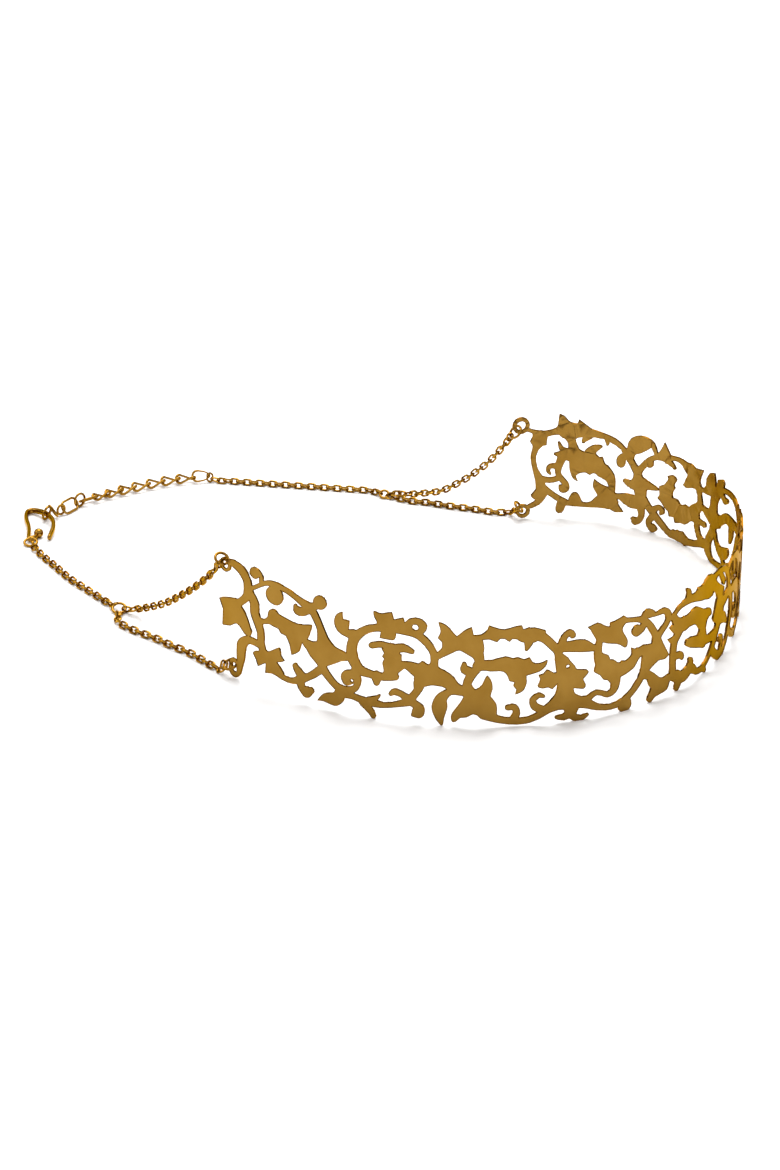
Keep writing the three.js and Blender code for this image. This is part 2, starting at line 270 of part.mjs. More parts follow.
// Leaves of the scrollwork: each edge is a closed run of [distance, height] points joined by
// smooth curves, and a third number marks the points where the edge turns sharply.
const LEAVES = [
  { name: "left_flag", edge: [[-2, 17, 1], [0.6, 17.8], [3.7, 18.3], [4.8, 16.9, 1],
    [6.4, 14.9], [7.5, 12.1, 1], [6.9, 10.9], [5.5, 11.2, 1], [3.5, 12.8], [1.5, 11.7],
    [-1.1, 11.1, 1], [-0.7, 14.9, 1]] },
  { name: "left_low_leaf", edge: [[9.4, 8.5, 1], [8.2, 8.2], [7.7, 7.6, 1], [8.6, 6.5], [9.1, 4.9, 1],
    [10.2, 5.7], [11.3, 6.4, 1], [11.2, 5.1], [11, 4.1, 1], [12.8, 4.5], [14.5, 4.2, 1], [15.9, 5],
    [15, 6.4], [14.1, 7.4, 1], [15, 7.6], [16.1, 8.1, 1], [15.2, 9.2], [15, 10.4], [14.4, 10.7],
    [13, 9.8], [11.7, 9.1], [10.7, 9.9, 1]] },
  { name: "left_leaf", edge: [[12, 15.6, 1], [12.1, 17.8], [12.8, 18.8], [13.9, 18.9],
    [14.8, 18.2, 1], [16.6, 17.8], [19.5, 17.3], [22.9, 17.9, 1], [22.5, 16.1], [21.7, 14.4, 1],
    [24, 14.2, 1], [23.6, 11.7], [21.4, 12.4], [20.5, 13.6, 1], [19.8, 11.4], [19, 10.6],
    [17.9, 10, 1], [17.5, 12.3], [16.6, 14, 1], [15.3, 14.1, 1], [14.8, 15, 1], [13, 15.2]] },
  { name: "left_body", edge: [[23.8, 14.5, 1], [25.8, 17, 1], [26.8, 15.5], [28.3, 14.2],
    [31, 13.3, 1], [31.6, 12, 1], [29.5, 11.4], [27.9, 10.4], [26.2, 9.6], [25.2, 8.2, 1],
    [24, 9.6], [22.3, 11.1], [20.8, 13.6, 1]] },
  { name: "blob", edge: [[12.4, 23.6], [11.6, 22.1], [12.2, 20.6], [13.8, 20], [15.2, 20.4],
    [16, 22], [15.4, 23.6], [13.9, 23.9]] },
  { name: "low_pad", edge: [[24, 1.5, 1], [24.9, 2.9], [25.9, 3.6], [27.5, 4], [28.2, 4.9, 1],
    [30.2, 4, 1], [29.9, 2.5], [28.5, 1.3], [27.1, 1.3], [25.5, 1.7], [24.7, 1.5]] },
  { name: "ring_leaf", edge: [[29.8, 22.2, 1], [28.6, 21.6], [28, 19.9], [28.6, 18.1],
    [29.9, 17.2], [31.4, 16.8, 1], [33.4, 18.6, 1], [32.2, 18.9], [31.1, 18.6, 1], [31.4, 20.6, 1],
    [29.9, 20.6, 1]] },
  { name: "curl_disc", edge: [[32.4, 10.8, 1], [31.6, 9.9], [30.1, 9.5], [29.4, 8.1], [29.9, 6.7],
    [30.8, 6.3], [31.9, 6.8], [32.8, 7.6, 1], [33.6, 9, 1], [34.3, 9.9, 1]] },
  { name: "crown", edge: [[36.9, 20.2, 1], [37.2, 21.4], [36.6, 22.4], [36.4, 23.6, 1], [38.2, 23.3],
    [40.3, 23.9, 1], [40.6, 22.2, 1], [42.6, 23, 1], [43, 21.1, 1], [43.6, 20.1, 1], [41, 19.8, 1],
    [41.1, 18.6], [40.4, 17.8], [37.7, 18, 1], [38.1, 19.6, 1]] },
  { name: "inner_left_edge", edge: [[38.1, 15.8, 1], [38.7, 14.8, 1], [38.2, 14.1, 1],
    [38.7, 13.6, 1], [38.3, 12.5], [38.6, 10.8], [37.5, 9.8, 1], [40, 9.8, 1], [40.4, 15.8, 1]] },
  { name: "inner_right_edge", edge: [[40.2, 9.2, 1], [41.3, 9.2, 1], [41.5, 10.6], [42.9, 12.1, 1],
    [42.2, 13.4, 1], [42.3, 14.8, 1], [41, 15.6, 1]] },
  { name: "bridge_leaf", edge: [[41.8, 13.4, 1], [44.2, 13.6], [45.6, 13.3], [46.4, 13.9],
    [47.6, 13.2, 1], [48.2, 13.9, 1], [49.5, 13.9, 1], [49.8, 12.7], [51.4, 11.9], [52.8, 9.9],
    [53.6, 8.3, 1], [51.5, 8.4, 1], [49, 8.9], [47, 8.4, 1], [44.8, 7.9, 1], [44.6, 9.1],
    [44.9, 10.3], [44.1, 11], [42.7, 12.3, 1]] },
  { name: "bay_wing", edge: [[49.5, 22.6, 1], [51.2, 22], [53.2, 19.6, 1], [54.4, 20.9],
    [56.2, 21.9, 1], [56.5, 20, 1], [58.4, 18.9, 1], [58.6, 16.6], [57, 15.6, 1], [54, 17.2],
    [51, 16.5], [49.6, 15.7, 1], [50.3, 17.3], [50.2, 18.5], [49.4, 19.2, 1], [50, 20.7]] },
  { name: "gallery_ridge", edge: [[58.2, 20, 1], [59.2, 21.2], [59.4, 22.2, 1], [60.6, 21.8],
    [62.4, 21.2], [64.4, 21.8], [66.1, 22, 1], [66.2, 21.1, 1], [68.4, 21.4], [70.8, 20.6, 1],
    [70.5, 19.4, 1], [68.6, 18.2, 1], [66, 18.4], [64.8, 19.2], [64, 19.2, 1], [63.6, 18.5, 1],
    [62, 19.5], [61.1, 18.5, 1], [59.6, 19.2]] },
  { name: "gallery_leaf", edge: [[58.4, 14.6, 1], [60.2, 14.7], [62.8, 15.4], [64.4, 14.9, 1],
    [65.4, 15.1], [66.6, 14.6, 1], [67.7, 15, 1], [68.4, 13.8], [69.8, 13.6], [71.3, 14.2, 1],
    [70.8, 12.8], [69.4, 11.7], [67, 11.1, 1], [67.1, 9.4], [66.4, 7.8], [64.8, 7, 1],
    [65.1, 8.1, 1], [64.4, 8.9, 1], [64.7, 9.8, 1], [63.6, 10, 1], [63, 11.6], [61.8, 12.3],
    [59, 12.4]] },
  { name: "bay_low_leaf", edge: [[55.2, 8.4, 1], [56.8, 8.2], [58.2, 9.2], [58.9, 10.9],
    [59.4, 11.2], [60.2, 10], [60.4, 8.4], [59.9, 6.8, 1], [61.2, 5], [61.3, 2.8, 1], [60.4, 1.4, 1],
    [57.4, 2.6], [56.4, 2.8], [55.3, 2.1], [54, 2], [53.2, 1.1], [52.4, 1.1], [52.2, 2.5], [53.2, 4.1],
    [54.2, 5.6], [54.8, 7, 1]] },
  { name: "mask", edge: [[72.9, 12.4, 1], [73.4, 11.3, 1], [72.6, 11.2, 1], [71.2, 12], [70.4, 11.2],
    [69.4, 10.9, 1], [69.8, 9.8], [69.3, 8.5], [70.4, 8], [71.4, 8.2], [72.3, 7.6, 1],
    [73.4, 8.9, 1], [73, 6.6], [71.4, 4.6, 1], [71.4, 3, 1], [74.8, 2.9, 1], [75, 1.6, 1],
    [77.4, 1.6, 1], [78, 3, 1], [80, 3.2, 1], [80, 5], [78.3, 5.3], [77, 6.3], [76.7, 7.4, 1],
    [78.8, 6.9], [79.3, 7.8], [78.7, 9.1, 1], [79.8, 10.3], [79.4, 11], [77.4, 11.4], [76.9, 12.3],
    [76.3, 13, 1], [75.8, 13.6], [75.6, 14.1, 1], [74.3, 15.2, 1], [74.2, 15.8, 1],
    [73, 15.8, 1]] },
  { name: "throat_wing", edge: [[79.3, 20.1, 1], [81.6, 20.8], [83.2, 19.9, 1], [84.3, 19.4, 1],
    [84.3, 20.2, 1], [86, 20.6], [87.6, 21.1], [88.4, 20.3, 1], [89.8, 19.6, 1], [88.1, 19.5],
    [87.2, 18.2], [88.4, 16], [88.5, 14.6], [87.8, 14.1], [87, 14.8], [85.8, 15.4], [84, 15.8],
    [82.9, 16.3, 1], [81.4, 15.8, 1], [81.5, 16.9], [80.6, 18.3], [80, 19.6, 1]] },
  { name: "throat_body", edge: [[81.2, 14, 1], [82.8, 14], [84.2, 13.3, 1], [84.6, 12.2, 1],
    [85.7, 11.9], [86.6, 10.8, 1], [87.6, 11.3], [89, 10.8], [89.8, 11.6], [89.6, 13.7, 1],
    [91, 13.1], [92.7, 13.5], [95, 13.1, 1], [97.2, 13.8, 1], [98.4, 11.6], [99.9, 9.2, 1],
    [98.4, 8.6], [96.6, 8.8], [94, 7.3, 1], [92.4, 8.4, 1], [92.4, 11.2, 1], [91.4, 10.8],
    [90.2, 9], [87.2, 7.9, 1], [86, 7.4, 1], [83.2, 8, 1], [82.4, 9.2], [81, 10.1, 1],
    [81.4, 12]] },
  { name: "second_low_leaf", edge: [[94, 5.2, 1], [94.4, 3.9], [95.1, 3.1, 1], [94.5, 1.4],
    [95.8, 0.9, 1], [97.4, 1.1], [99.6, 1.5], [100.4, 3.2, 1], [102, 3.2, 1], [100.9, 4.7, 1],
    [99, 4.7], [97.4, 4.2, 1], [96.4, 5.6], [94.8, 6.6]] },
  { name: "upright_barbs", edge: [[100.4, 11.3, 1], [99.3, 12.6, 1], [101.6, 12.9, 1],
    [99.7, 15, 1], [100.9, 15.5, 1], [100.4, 16.4, 1], [103.4, 15.7, 1], [104.4, 13.4, 1],
    [102.4, 11.2, 1]] },
  { name: "third_thorn", edge: [[104.4, 19.4, 1], [104.9, 21.1], [104.7, 22.2, 1], [106, 21.8],
    [106.8, 20, 1], [106.4, 19.2, 1]] },
  { name: "third_ridge", edge: [[108.4, 20, 1], [109.2, 20.9, 1], [111, 20.7], [112, 21.3],
    [114, 21.9], [116.2, 21.2], [117.6, 19.6, 1], [116, 16.6, 1], [113.6, 16.6], [111.4, 17.4],
    [110, 18.2, 1]] },
  { name: "third_leaf", edge: [[103.4, 15.5, 1], [104.2, 16.3, 1], [105.4, 16.1], [108.6, 16.8],
    [110.6, 15.9], [112.4, 14.9], [114.6, 14.4], [115.6, 13], [113.6, 12, 1], [113, 10],
    [113.6, 8.6, 1], [109.6, 9.6, 1], [110.4, 11, 1], [108.6, 12.8], [106.4, 13.2], [104.2, 12.9]] },
  { name: "fourth_wing", edge: [[119.8, 17.6, 1], [118.6, 15], [117.4, 12.4, 1], [116.7, 10.8],
    [118.4, 9.2, 1], [122.6, 9.2, 1], [122.9, 11.6], [122.2, 14], [122.6, 16, 1], [121.2, 16.8]] },
  { name: "fifth_crest", edge: [[131.6, 19, 1], [133.4, 20.9, 1], [134.2, 19.2, 1],
    [136, 20.6, 1], [136.2, 18.4], [135.6, 16, 1]] },
  { name: "sixth_wing", edge: [[138.2, 10.8, 1], [136.8, 9.6, 1], [138, 8.6, 1], [137.2, 7.2, 1],
    [139.4, 5.6, 1], [141.4, 8.2], [141.6, 10.8, 1]] },
  { name: "seventh_crest", edge: [[152, 18.6, 1], [153.6, 20.9, 1], [154.6, 19.2, 1],
    [156.6, 20.8, 1], [157, 18.4, 1], [155, 16.2, 1]] },
  { name: "ninth_crest", edge: [[167.8, 19.6, 1], [167.3, 21.1, 1], [168.3, 21.7, 1],
    [170.9, 20.8, 1], [171.3, 18.9], [171.8, 18.5, 1], [172.2, 20.4], [172.6, 21.6, 1],
    [174.6, 21, 1], [176.1, 19, 1], [176.3, 17.2], [177.6, 16, 1], [171.6, 15.6, 1],
    [169.4, 17.2, 1]] },
  { name: "ninth_core", edge: [[170.8, 14, 1], [170.4, 12.6], [168, 12.6, 1], [169, 9.6, 1],
    [171, 8.8, 1], [173.8, 9, 1], [176.6, 10.4, 1], [177, 12, 1], [174.8, 12.2, 1],
    [173.6, 14, 1]] },
  { name: "tenth_wing", edge: [[177.6, 20.4, 1], [180.8, 19.8, 1], [182.4, 20.4], [184.2, 20.1, 1],
    [186.4, 20.3, 1], [185.6, 19.2, 1], [183.4, 17.4, 1], [184, 15.9], [184.9, 14.4, 1],
    [183.2, 14.1], [181.4, 14.9], [179.6, 14.8, 1], [178.4, 16.3, 1], [178.8, 17.6]] },
  { name: "dragon", edge: [[179.2, 12.2, 1], [181.6, 10.8], [182.6, 9.8], [184, 10], [185.4, 9.4],
    [186.4, 10.3], [188, 10.3, 1], [188.1, 11.6], [187.3, 12.8, 1], [187.7, 13.6], [186.9, 15],
    [188.2, 15.7], [189.7, 15.2, 1], [189.6, 14.1], [190.9, 12.6], [192.1, 12.1, 1], [191.9, 9.9, 1],
    [192.5, 9, 1], [191.1, 8.1], [190.3, 7.2], [189.1, 6.6, 1], [188.9, 5.4, 1], [187.4, 5.7, 1],
    [186.9, 4.4, 1], [185.2, 5, 1], [183.4, 5.2], [181.8, 6.6], [180.2, 7, 1], [178.8, 8.8, 1],
    [178.8, 10.6, 1]] },
  { name: "low_tooth_row", edge: [[182.2, 1.8, 1], [184.4, 3.2, 1], [185.6, 2.9, 1], [186.4, 3, 1],
    [187, 2.6, 1], [187.7, 2.7, 1], [188.6, 1.8, 1]] },
  { name: "eleventh_thorn", edge: [[189, 20.1, 1], [190.2, 21.6], [191, 23, 1], [191.8, 21.1],
    [193.2, 19.3, 1], [190.9, 18.6, 1]] },
  { name: "right_wing", edge: [[209.3, 22.1, 1], [211.3, 23.5], [212.8, 24.6, 1], [213.1, 23.1, 1],
    [215, 24], [216, 25.2], [217.3, 25.8, 1], [217.6, 22.9], [218.4, 21.7, 1], [216.4, 19.8, 1],
    [213.2, 19.8, 1]] },
  { name: "right_body", edge: [[203.8, 9.8, 1], [204.3, 12.2], [206.3, 14.2], [207, 16, 1],
    [207.8, 15.7, 1], [208.6, 16.7], [207.1, 18.2], [207.7, 18.8], [209.5, 18.5], [210.9, 17.5],
    [211.4, 16.7, 1], [213, 17.3], [216, 17, 1], [216.8, 14.9, 1], [214.8, 14.2, 1],
    [214.6, 11.8], [213.8, 10], [212.6, 9.3, 1], [213.1, 10.6], [212, 11.5], [210.7, 11.6],
    [209.9, 11.1, 1], [208.9, 11.7], [207.7, 10.9], [206.1, 10.2], [205.1, 8.6, 1]] },
  { name: "right_low_leaf", edge: [[204.1, 8.8, 1], [206.1, 8.8], [207.7, 9.4], [208.9, 10.3, 1],
    [209.1, 8.3], [207.9, 6.3, 1], [208.7, 5.1], [210.3, 4.2], [211.4, 4.1], [212.2, 5.8], [213, 6.6],
    [214.1, 6.2], [214.8, 4.8, 1], [213.6, 3.2, 1], [209.1, 3.2], [204.9, 3.3, 1], [203.2, 2.8],
    [201.4, 3.2, 1], [202.7, 4.6], [203.5, 6.4, 1]] },
  { name: "frame_knot", edge: [[219.9, 20.5, 1], [220, 18, 1], [221.4, 18], [223.3, 18.1, 1],
    [224, 19.1, 1], [223.3, 20.3, 1], [223.5, 21.5, 1]] },
  { name: "frame_barb", edge: [[221.6, 8, 1], [222.6, 6.9], [223.6, 5.8, 1], [223, 5], [221.4, 4.2, 1],
    [220.2, 5], [219.5, 6.2, 1]] },
];

// Round balls at the ends of vines, and small round holes.
const BALLS = [
  { name: "arch_ball", at: [24.8, 23.2], radius: 1.55 },
  { name: "low_ball", at: [21.4, 2.7], radius: 1.3 },
  { name: "top_ball", at: [8.7, 25.6], radius: 1.3 },
  { name: "crown_ball", at: [45, 21.1], radius: 1.3 },
  { name: "link_ball", at: [45.6, 2.6], radius: 1.3 },
  { name: "throat_ball", at: [88.7, 1.2], radius: 1.3 },
  { name: "throat_heel", at: [87.9, 0.9], radius: 1 },
  { name: "second_ball", at: [90.8, 17.1], radius: 1.3 },
  { name: "fifth_ball", at: [130.3, 16.9], radius: 1.2 },
  { name: "seventh_ball", at: [150.1, 16.7], radius: 1.1 },
  { name: "wing_ball", at: [193.6, 1.2], radius: 1.1 },
  { name: "bird_ball", at: [198.4, 1.7], radius: 1.0 },
  { name: "spiral_ball", at: [215.9, 7.4], radius: 1.1 },
  { name: "left_top_eye", at: [0.25, 24.95], radius: 1.6 },
  { name: "left_low_eye", at: [2.3, 2.1], radius: 1.75 },
  { name: "left_low_brow", at: [2.1, 3.3], radius: 1.4 },
  { name: "right_top_eye", at: [226.1, 23.2], radius: 2.1 },
  { name: "right_low_eye", at: [225.3, 2.05], radius: 1.75 },
];
const HOLES = [
  { name: "curl_hole", at: [31.8, 7.6], radius: 0.35 },
  { name: "crown_hole", at: [45, 21.1], radius: 0.62 },
  { name: "mask_hole", at: [75.4, 12.3], radius: 0.4 },
  { name: "left_top_hole", at: [0.25, 24.95], radius: 0.85 },
  { name: "left_low_hole", at: [2.35, 2.3], radius: 0.7 },
  { name: "left_low_slot", at: [2.3, 3], radius: 0.7 },
  { name: "right_top_hole", at: [226.1, 23.2], radius: 1.1 },
  { name: "right_low_hole", at: [225.4, 2.1], radius: 0.85 },
];

// ---------------------------------------------------------------- outlines in the plane
// Catmull-Rom point on the span b-c of any rows of numbers, t from 0 to 1.
function spline(a, b, c, d, t) {
  return b.map((_, i) => 0.5 * (2 * b[i] + (c[i] - a[i]) * t
    + (2 * a[i] - 5 * b[i] + 4 * c[i] - d[i]) * t * t
    + (3 * b[i] - a[i] - 3 * c[i] + d[i]) * t * t * t));
}

// The stations of a vine and the stations drawn between them.
function smoothRun(run) {
  const out = [];
  for (let i = 0; i + 1 < run.length; i++) {
    const before = run[Math.max(i - 1, 0)];
    const after = run[Math.min(i + 2, run.length - 1)];
    for (let k = 0; k < CURVE_PARTS; k++) {
      out.push(spline(before, run[i], run[i + 1], after, k / CURVE_PARTS));
    }
  }
  out.push(run[run.length - 1]);
  return out;
}

// Drops the points of a closed outline that its shape does not need.
function thin(points) {
  const keep = points.slice();
  for (let i = 0; i < keep.length && keep.length > 4;) {
    const a = keep[(i + keep.length - 1) % keep.length];
    const b = keep[(i + 1) % keep.length];
    const p = keep[i];
    const span = Math.hypot(b[0] - a[0], b[1] - a[1]);
    const off = span < 1e-6 ? 0
      : Math.abs((b[0] - a[0]) * (p[1] - a[1]) - (b[1] - a[1]) * (p[0] - a[0])) / span;
    if (off < OUTLINE_SLACK && span < 2.4) keep.splice(i, 1);
    i++;
  }
  return keep;
}

// Outline of a vine: both sides of its run, with a round cap at each end.
function vineOutline(run) {
  const line = smoothRun(run);
  const left = [];
  const right = [];
  line.forEach((p, i) => {
    const a = line[Math.max(i - 1, 0)];
    const b = line[Math.min(i + 1, line.length - 1)];
    const turn = Math.atan2(b[1] - a[1], b[0] - a[0]);
    const half = p[2] / 2;
    const sides = [[left, 1], [right, -1]];
    for (const [side, sign] of sides) {
      const q = [p[0] - sign * half * Math.sin(turn), p[1] + sign * half * Math.cos(turn)];
      const last = side[side.length - 1];
      const ahead = !last
        || (q[0] - last[0]) * Math.cos(turn) + (q[1] - last[1]) * Math.sin(turn) > 0.02;
      if (ahead) side.push(q);
    }
  });
  const cap = (centre, from, sign) => {
    const start = Math.atan2(from[1] - centre[1], from[0] - centre[0]);
    const points = [];
    for (let k = 1; k < CAP_PARTS; k++) {
      const angle = start + sign * Math.PI * k / CAP_PARTS;
      points.push([centre[0] + centre[2] / 2 * Math.cos(angle),
        centre[1] + centre[2] / 2 * Math.sin(angle)]);
    }
    return points;
  };
  const end = cap(line[line.length - 1], left[left.length - 1], -1);
  const start = cap(line[0], right[0], -1);
  return thin([...left, ...end, ...right.reverse(), ...start]);
}

// Outline of a leaf: smooth between its sharp points.
function leafOutline(edge) {
  const out = [];
  const n = edge.length;
  for (let i = 0; i < n; i++) {
    const b = edge[i];
    const c = edge[(i + 1) % n];
    const a = b[2] ? b : edge[(i + n - 1) % n];
    const d = c[2] ? c : edge[(i + 2) % n];
    const straight = b[2] && c[2];
    const parts = straight ? 1 : CURVE_PARTS;
    for (let k = 0; k < parts; k++) {
      out.push(spline(a.slice(0, 2), b.slice(0, 2), c.slice(0, 2), d.slice(0, 2), k / parts));
    }
  }
  return thin(out);
}

function discOutline(at, radius) {
  const out = [];
  for (let k = 0; k < DISC_SIDES; k++) {
    const angle = 2 * Math.PI * k / DISC_SIDES;
    out.push([at[0] + radius * Math.cos(angle), at[1] + radius * Math.sin(angle)]);
  }
  return out;
}

// ---------------------------------------------------------------- solids
const wasm = await Module();
wasm.setup();

function solidOf(geometry) {
  const bare = geometry.clone();
  bare.deleteAttribute("normal");
  bare.deleteAttribute("uv");
  const merged = mergeVertices(bare, 1e-4);
  return new wasm.Manifold(new wasm.Mesh({
    numProp: 3,
    vertProperties: Float32Array.from(merged.attributes.position.array),
    triVerts: Uint32Array.from(merged.index.array),
  }));
}

function plate(outline, depth) {
  const shape = new THREE.Shape(outline.map(([x, y]) => new THREE.Vector2(x, y)));
  return new THREE.ExtrudeGeometry(shape, { depth, bevelEnabled: false });
}

// Plan point and heading at a distance along the band, straight on past either end.
function planAt(distance) {
  let x = PLAN_START.x;
  let y = PLAN_START.y;
  let heading = PLAN_START.heading * Math.PI / 180;
  let left = distance;
  for (const arc of PLAN_ARCS) {
    if (left <= 0) break;
    const run = Math.min(left, arc.length);
    const turn = arc.turn * Math.PI / 180 * run / arc.length;
    const chord = 2 * (arc.length / (arc.turn * Math.PI / 180)) * Math.sin(turn / 2);
    x += chord * Math.cos(heading + turn / 2);
    y += chord * Math.sin(heading + turn / 2);
    heading += turn;
    left -= run;
  }
  return { x: x + left * Math.cos(heading), y: y + left * Math.sin(heading), heading };
}

// The closed loops that bound the upper face of a flat solid, as [distance, height] points.
function faceLoops(mesh) {
  const { vertProperties: v, triVerts: tri } = mesh;
  const onTop = (k) => v[3 * k + 2] > SHEET - 1e-3;
  const next = new Map();
  const edges = new Set();
  for (let i = 0; i < tri.length; i += 3) {
    const t = [tri[i], tri[i + 1], tri[i + 2]];
    if (!t.every(onTop)) continue;
    for (let k = 0; k < 3; k++) edges.add(`${t[k]}_${t[(k + 1) % 3]}`);
  }
  for (const edge of edges) {
    const [a, b] = edge.split("_").map(Number);
    if (!edges.has(`${b}_${a}`)) next.set(a, b);
  }
  const loops = [];
  while (next.size) {
    const start = next.keys().next().value;
    const loop = [];
    for (let k = start; next.has(k);) {
      loop.push([v[3 * k], v[3 * k + 1]]);
      const after = next.get(k);
      next.delete(k);
      k = after;
    }
    loops.push(loop);
  }
  return loops;
}

// Signed area of a closed outline: negative when it runs clockwise, as around a hole.
function areaOf(loop) {
  return loop.reduce((sum, p, i) => {
    const q = loop[(i + 1) % loop.length];
    return sum + (p[0] * q[1] - q[0] * p[1]) / 2;
  }, 0);
}

// The whole band cut flat from sheet: vines, leaves and balls joined, holes and feet trimmed.
function flatBand() {
  let flat = null;
  const join = (outline) => {
    const piece = solidOf(plate(outline, SHEET));
    flat = flat ? flat.add(piece) : piece;
  };
  for (const vine of VINES) join(vineOutline(vine.run));
  for (const leaf of LEAVES) join(leafOutline(leaf.edge));
  for (const ball of BALLS) join(discOutline(ball.at, ball.radius));
  for (const hole of HOLES) {
    const drill = plate(discOutline(hole.at, hole.radius), 3 * SHEET);
    drill.translate(0, 0, -SHEET);
    flat = flat.subtract(solidOf(drill));
  }
  const under = new THREE.BoxGeometry(2 * BAND_LENGTH, 10, 3 * SHEET);
  under.translate(BAND_LENGTH / 2, FOOT_Z - 5, SHEET / 2);
  flat = flat.subtract(solidOf(under));
  const loops = faceLoops(flat.getMesh()).filter((loop) => Math.abs(areaOf(loop)) > SMALLEST_HOLE);
  const points = (loop) => thin(thin(loop)).map(([x, y]) => new THREE.Vector2(x, y));
  const shape = new THREE.Shape(points(loops.find((loop) => areaOf(loop) > 0)));
  shape.holes = loops.filter((loop) => areaOf(loop) < 0).map((loop) => new THREE.Path(points(loop)));
  return new THREE.ExtrudeGeometry(shape, { depth: SHEET, bevelEnabled: false });
}

function isInside([x, y], loop) {
  return loop.reduce((inside, p, i) => {
    const q = loop[(i + 1) % loop.length];
    const crosses = (p[1] > y) !== (q[1] > y)
      && x < p[0] + (q[0] - p[0]) * (y - p[1]) / (q[1] - p[1]);
    return crosses ? !inside : inside;
  }, false);
}

// The plates of one upright strip of the flat band, between two creases.
function stripPlates(flat, from, to) {
  const window = new THREE.BoxGeometry(to - from, 100, 4 * SHEET);
  window.translate((from + to) / 2, 0, 0);
  const onCrease = (p, q, r) => [from, to].some((x) => [p, q, r].every((v) => near(v[0], x)));
  const loops = faceLoops(flat.intersect(solidOf(window)).getMesh()).map((loop) => loop
    .filter((p, i) => !onCrease(loop.at(i - 1), p, loop[(i + 1) % loop.length])));
  const toPath = (loop) => loop.map(([x, y]) => new THREE.Vector2(x, y));
  const outers = loops.filter((loop) => areaOf(loop) > 0);
  const inners = loops.filter((loop) => areaOf(loop) < 0);
  return outers.map((outer) => {
    const shape = new THREE.Shape(toPath(outer));
    shape.holes = inners.filter((hole) => isInside(hole[0], outer))
      .map((hole) => new THREE.Path(toPath(hole)));
    return new THREE.ExtrudeGeometry(shape, { depth: SHEET, bevelEnabled: false });
  });
}

function near(a, b) {
  return Math.abs(a - b) < 1e-3;
}

// The flat band cut into upright strips, so that it can bend where they meet, and joined up
// again without the faces between them.
function creasedBand() {
  const flat = solidOf(flatBand());
  const box = flat.boundingBox();
  const corners = [];
  for (let from = box.min[0] - FIRST_BEND; from < box.max[0]; from += BEND_STEP) {
    const to = from + BEND_STEP;
    for (const strip of stripPlates(flat, from, to)) {
      const v = strip.attributes.position;
      for (let i = 0; i < v.count; i += 3) {
        const face = [i, i + 1, i + 2];
        const between = [from, to].some((x) => face.every((k) => near(v.getX(k), x)));
        if (!between) for (const k of face) corners.push(v.getX(k), v.getY(k), v.getZ(k));
      }
    }
  }
  const loose = new THREE.BufferGeometry();
  loose.setAttribute("position", new THREE.Float32BufferAttribute(corners, 3));
  return mergeVertices(loose, 2e-3);
}

// The creased band bent round the plan.
function bentBand() {
  const band = creasedBand();
  const position = band.attributes.position;
  for (let i = 0; i < position.count; i++) {
    const plan = planAt(position.getX(i));
    const out = position.getZ(i) - SHEET / 2;
    position.setXYZ(i, plan.x + out * Math.sin(plan.heading), plan.y - out * Math.cos(plan.heading),
      position.getY(i));
  }
  return band;
}

// ---------------------------------------------------------------- chains, rings and clasp
// Fine chains as tubes along their true routes, [x, y, z] stations at the middle of the chain.
const FINE_CHAINS = [
  { name: "left_upper_chain", route: [[-59.3, 13.4, 23.4], [-57.3, 16.4, 20], [-54.3, 21.1, 15.5],
    [-51.2, 25.8, 11.6], [-47.8, 30.9, 7.7], [-44.3, 36.3, 4.4], [-41.6, 40.6, 2.1],
    [-40.4, 42.6, 1.2]] },
  { name: "left_lower_chain", route: [[-60.5, 12.4, 0.98], [-59.5, 14.7, 0.95], [-58, 17.3, 0.95],
    [-55.4, 22, 0.95], [-53.4, 27.3, 0.95], [-51.4, 31.9, 0.95], [-49.5, 37.7, 0.95],
    [-47.4, 41.9, 0.95], [-44.7, 44, 0.95]] },
  { name: "left_clasp_chain", route: [[-17.8, 78, 0.95], [-21.4, 74, 0.95], [-25.2, 69.1, 0.95],
    [-30, 63.1, 0.95], [-33.8, 57.2, 0.95], [-37.6, 51.1, 0.95], [-39.4, 48.2, 0.95]] },
  { name: "right_upper_chain", route: [[38.8, -14.9, 19.5], [39.3, -10.5, 13.8], [39.8, -6, 9.5],
    [40.1, -3.3, 7.4], [40.6, 1.5, 4.2], [41.1, 6.2, 2.6], [41.7, 10.4, 1.5], [42, 13.5, 1.1]] },
  { name: "right_lower_chain", route: [[40.8, -15, 0.98], [39.9, -11.6, 0.95], [39.9, -6, 0.95],
    [39.6, 0.2, 0.95], [39.7, 4.9, 0.95], [39.2, 8.4, 0.95], [39.4, 10.8, 0.95],
    [39.9, 13.5, 0.95]] },
  { name: "right_clasp_chain", route: [[34.3, 57.2, 0.95], [36, 48.7, 0.95], [37.9, 39.2, 0.95],
    [39.8, 29.7, 0.95], [41.5, 21.4, 0.95], [41.3, 18.6, 0.95]] },
];

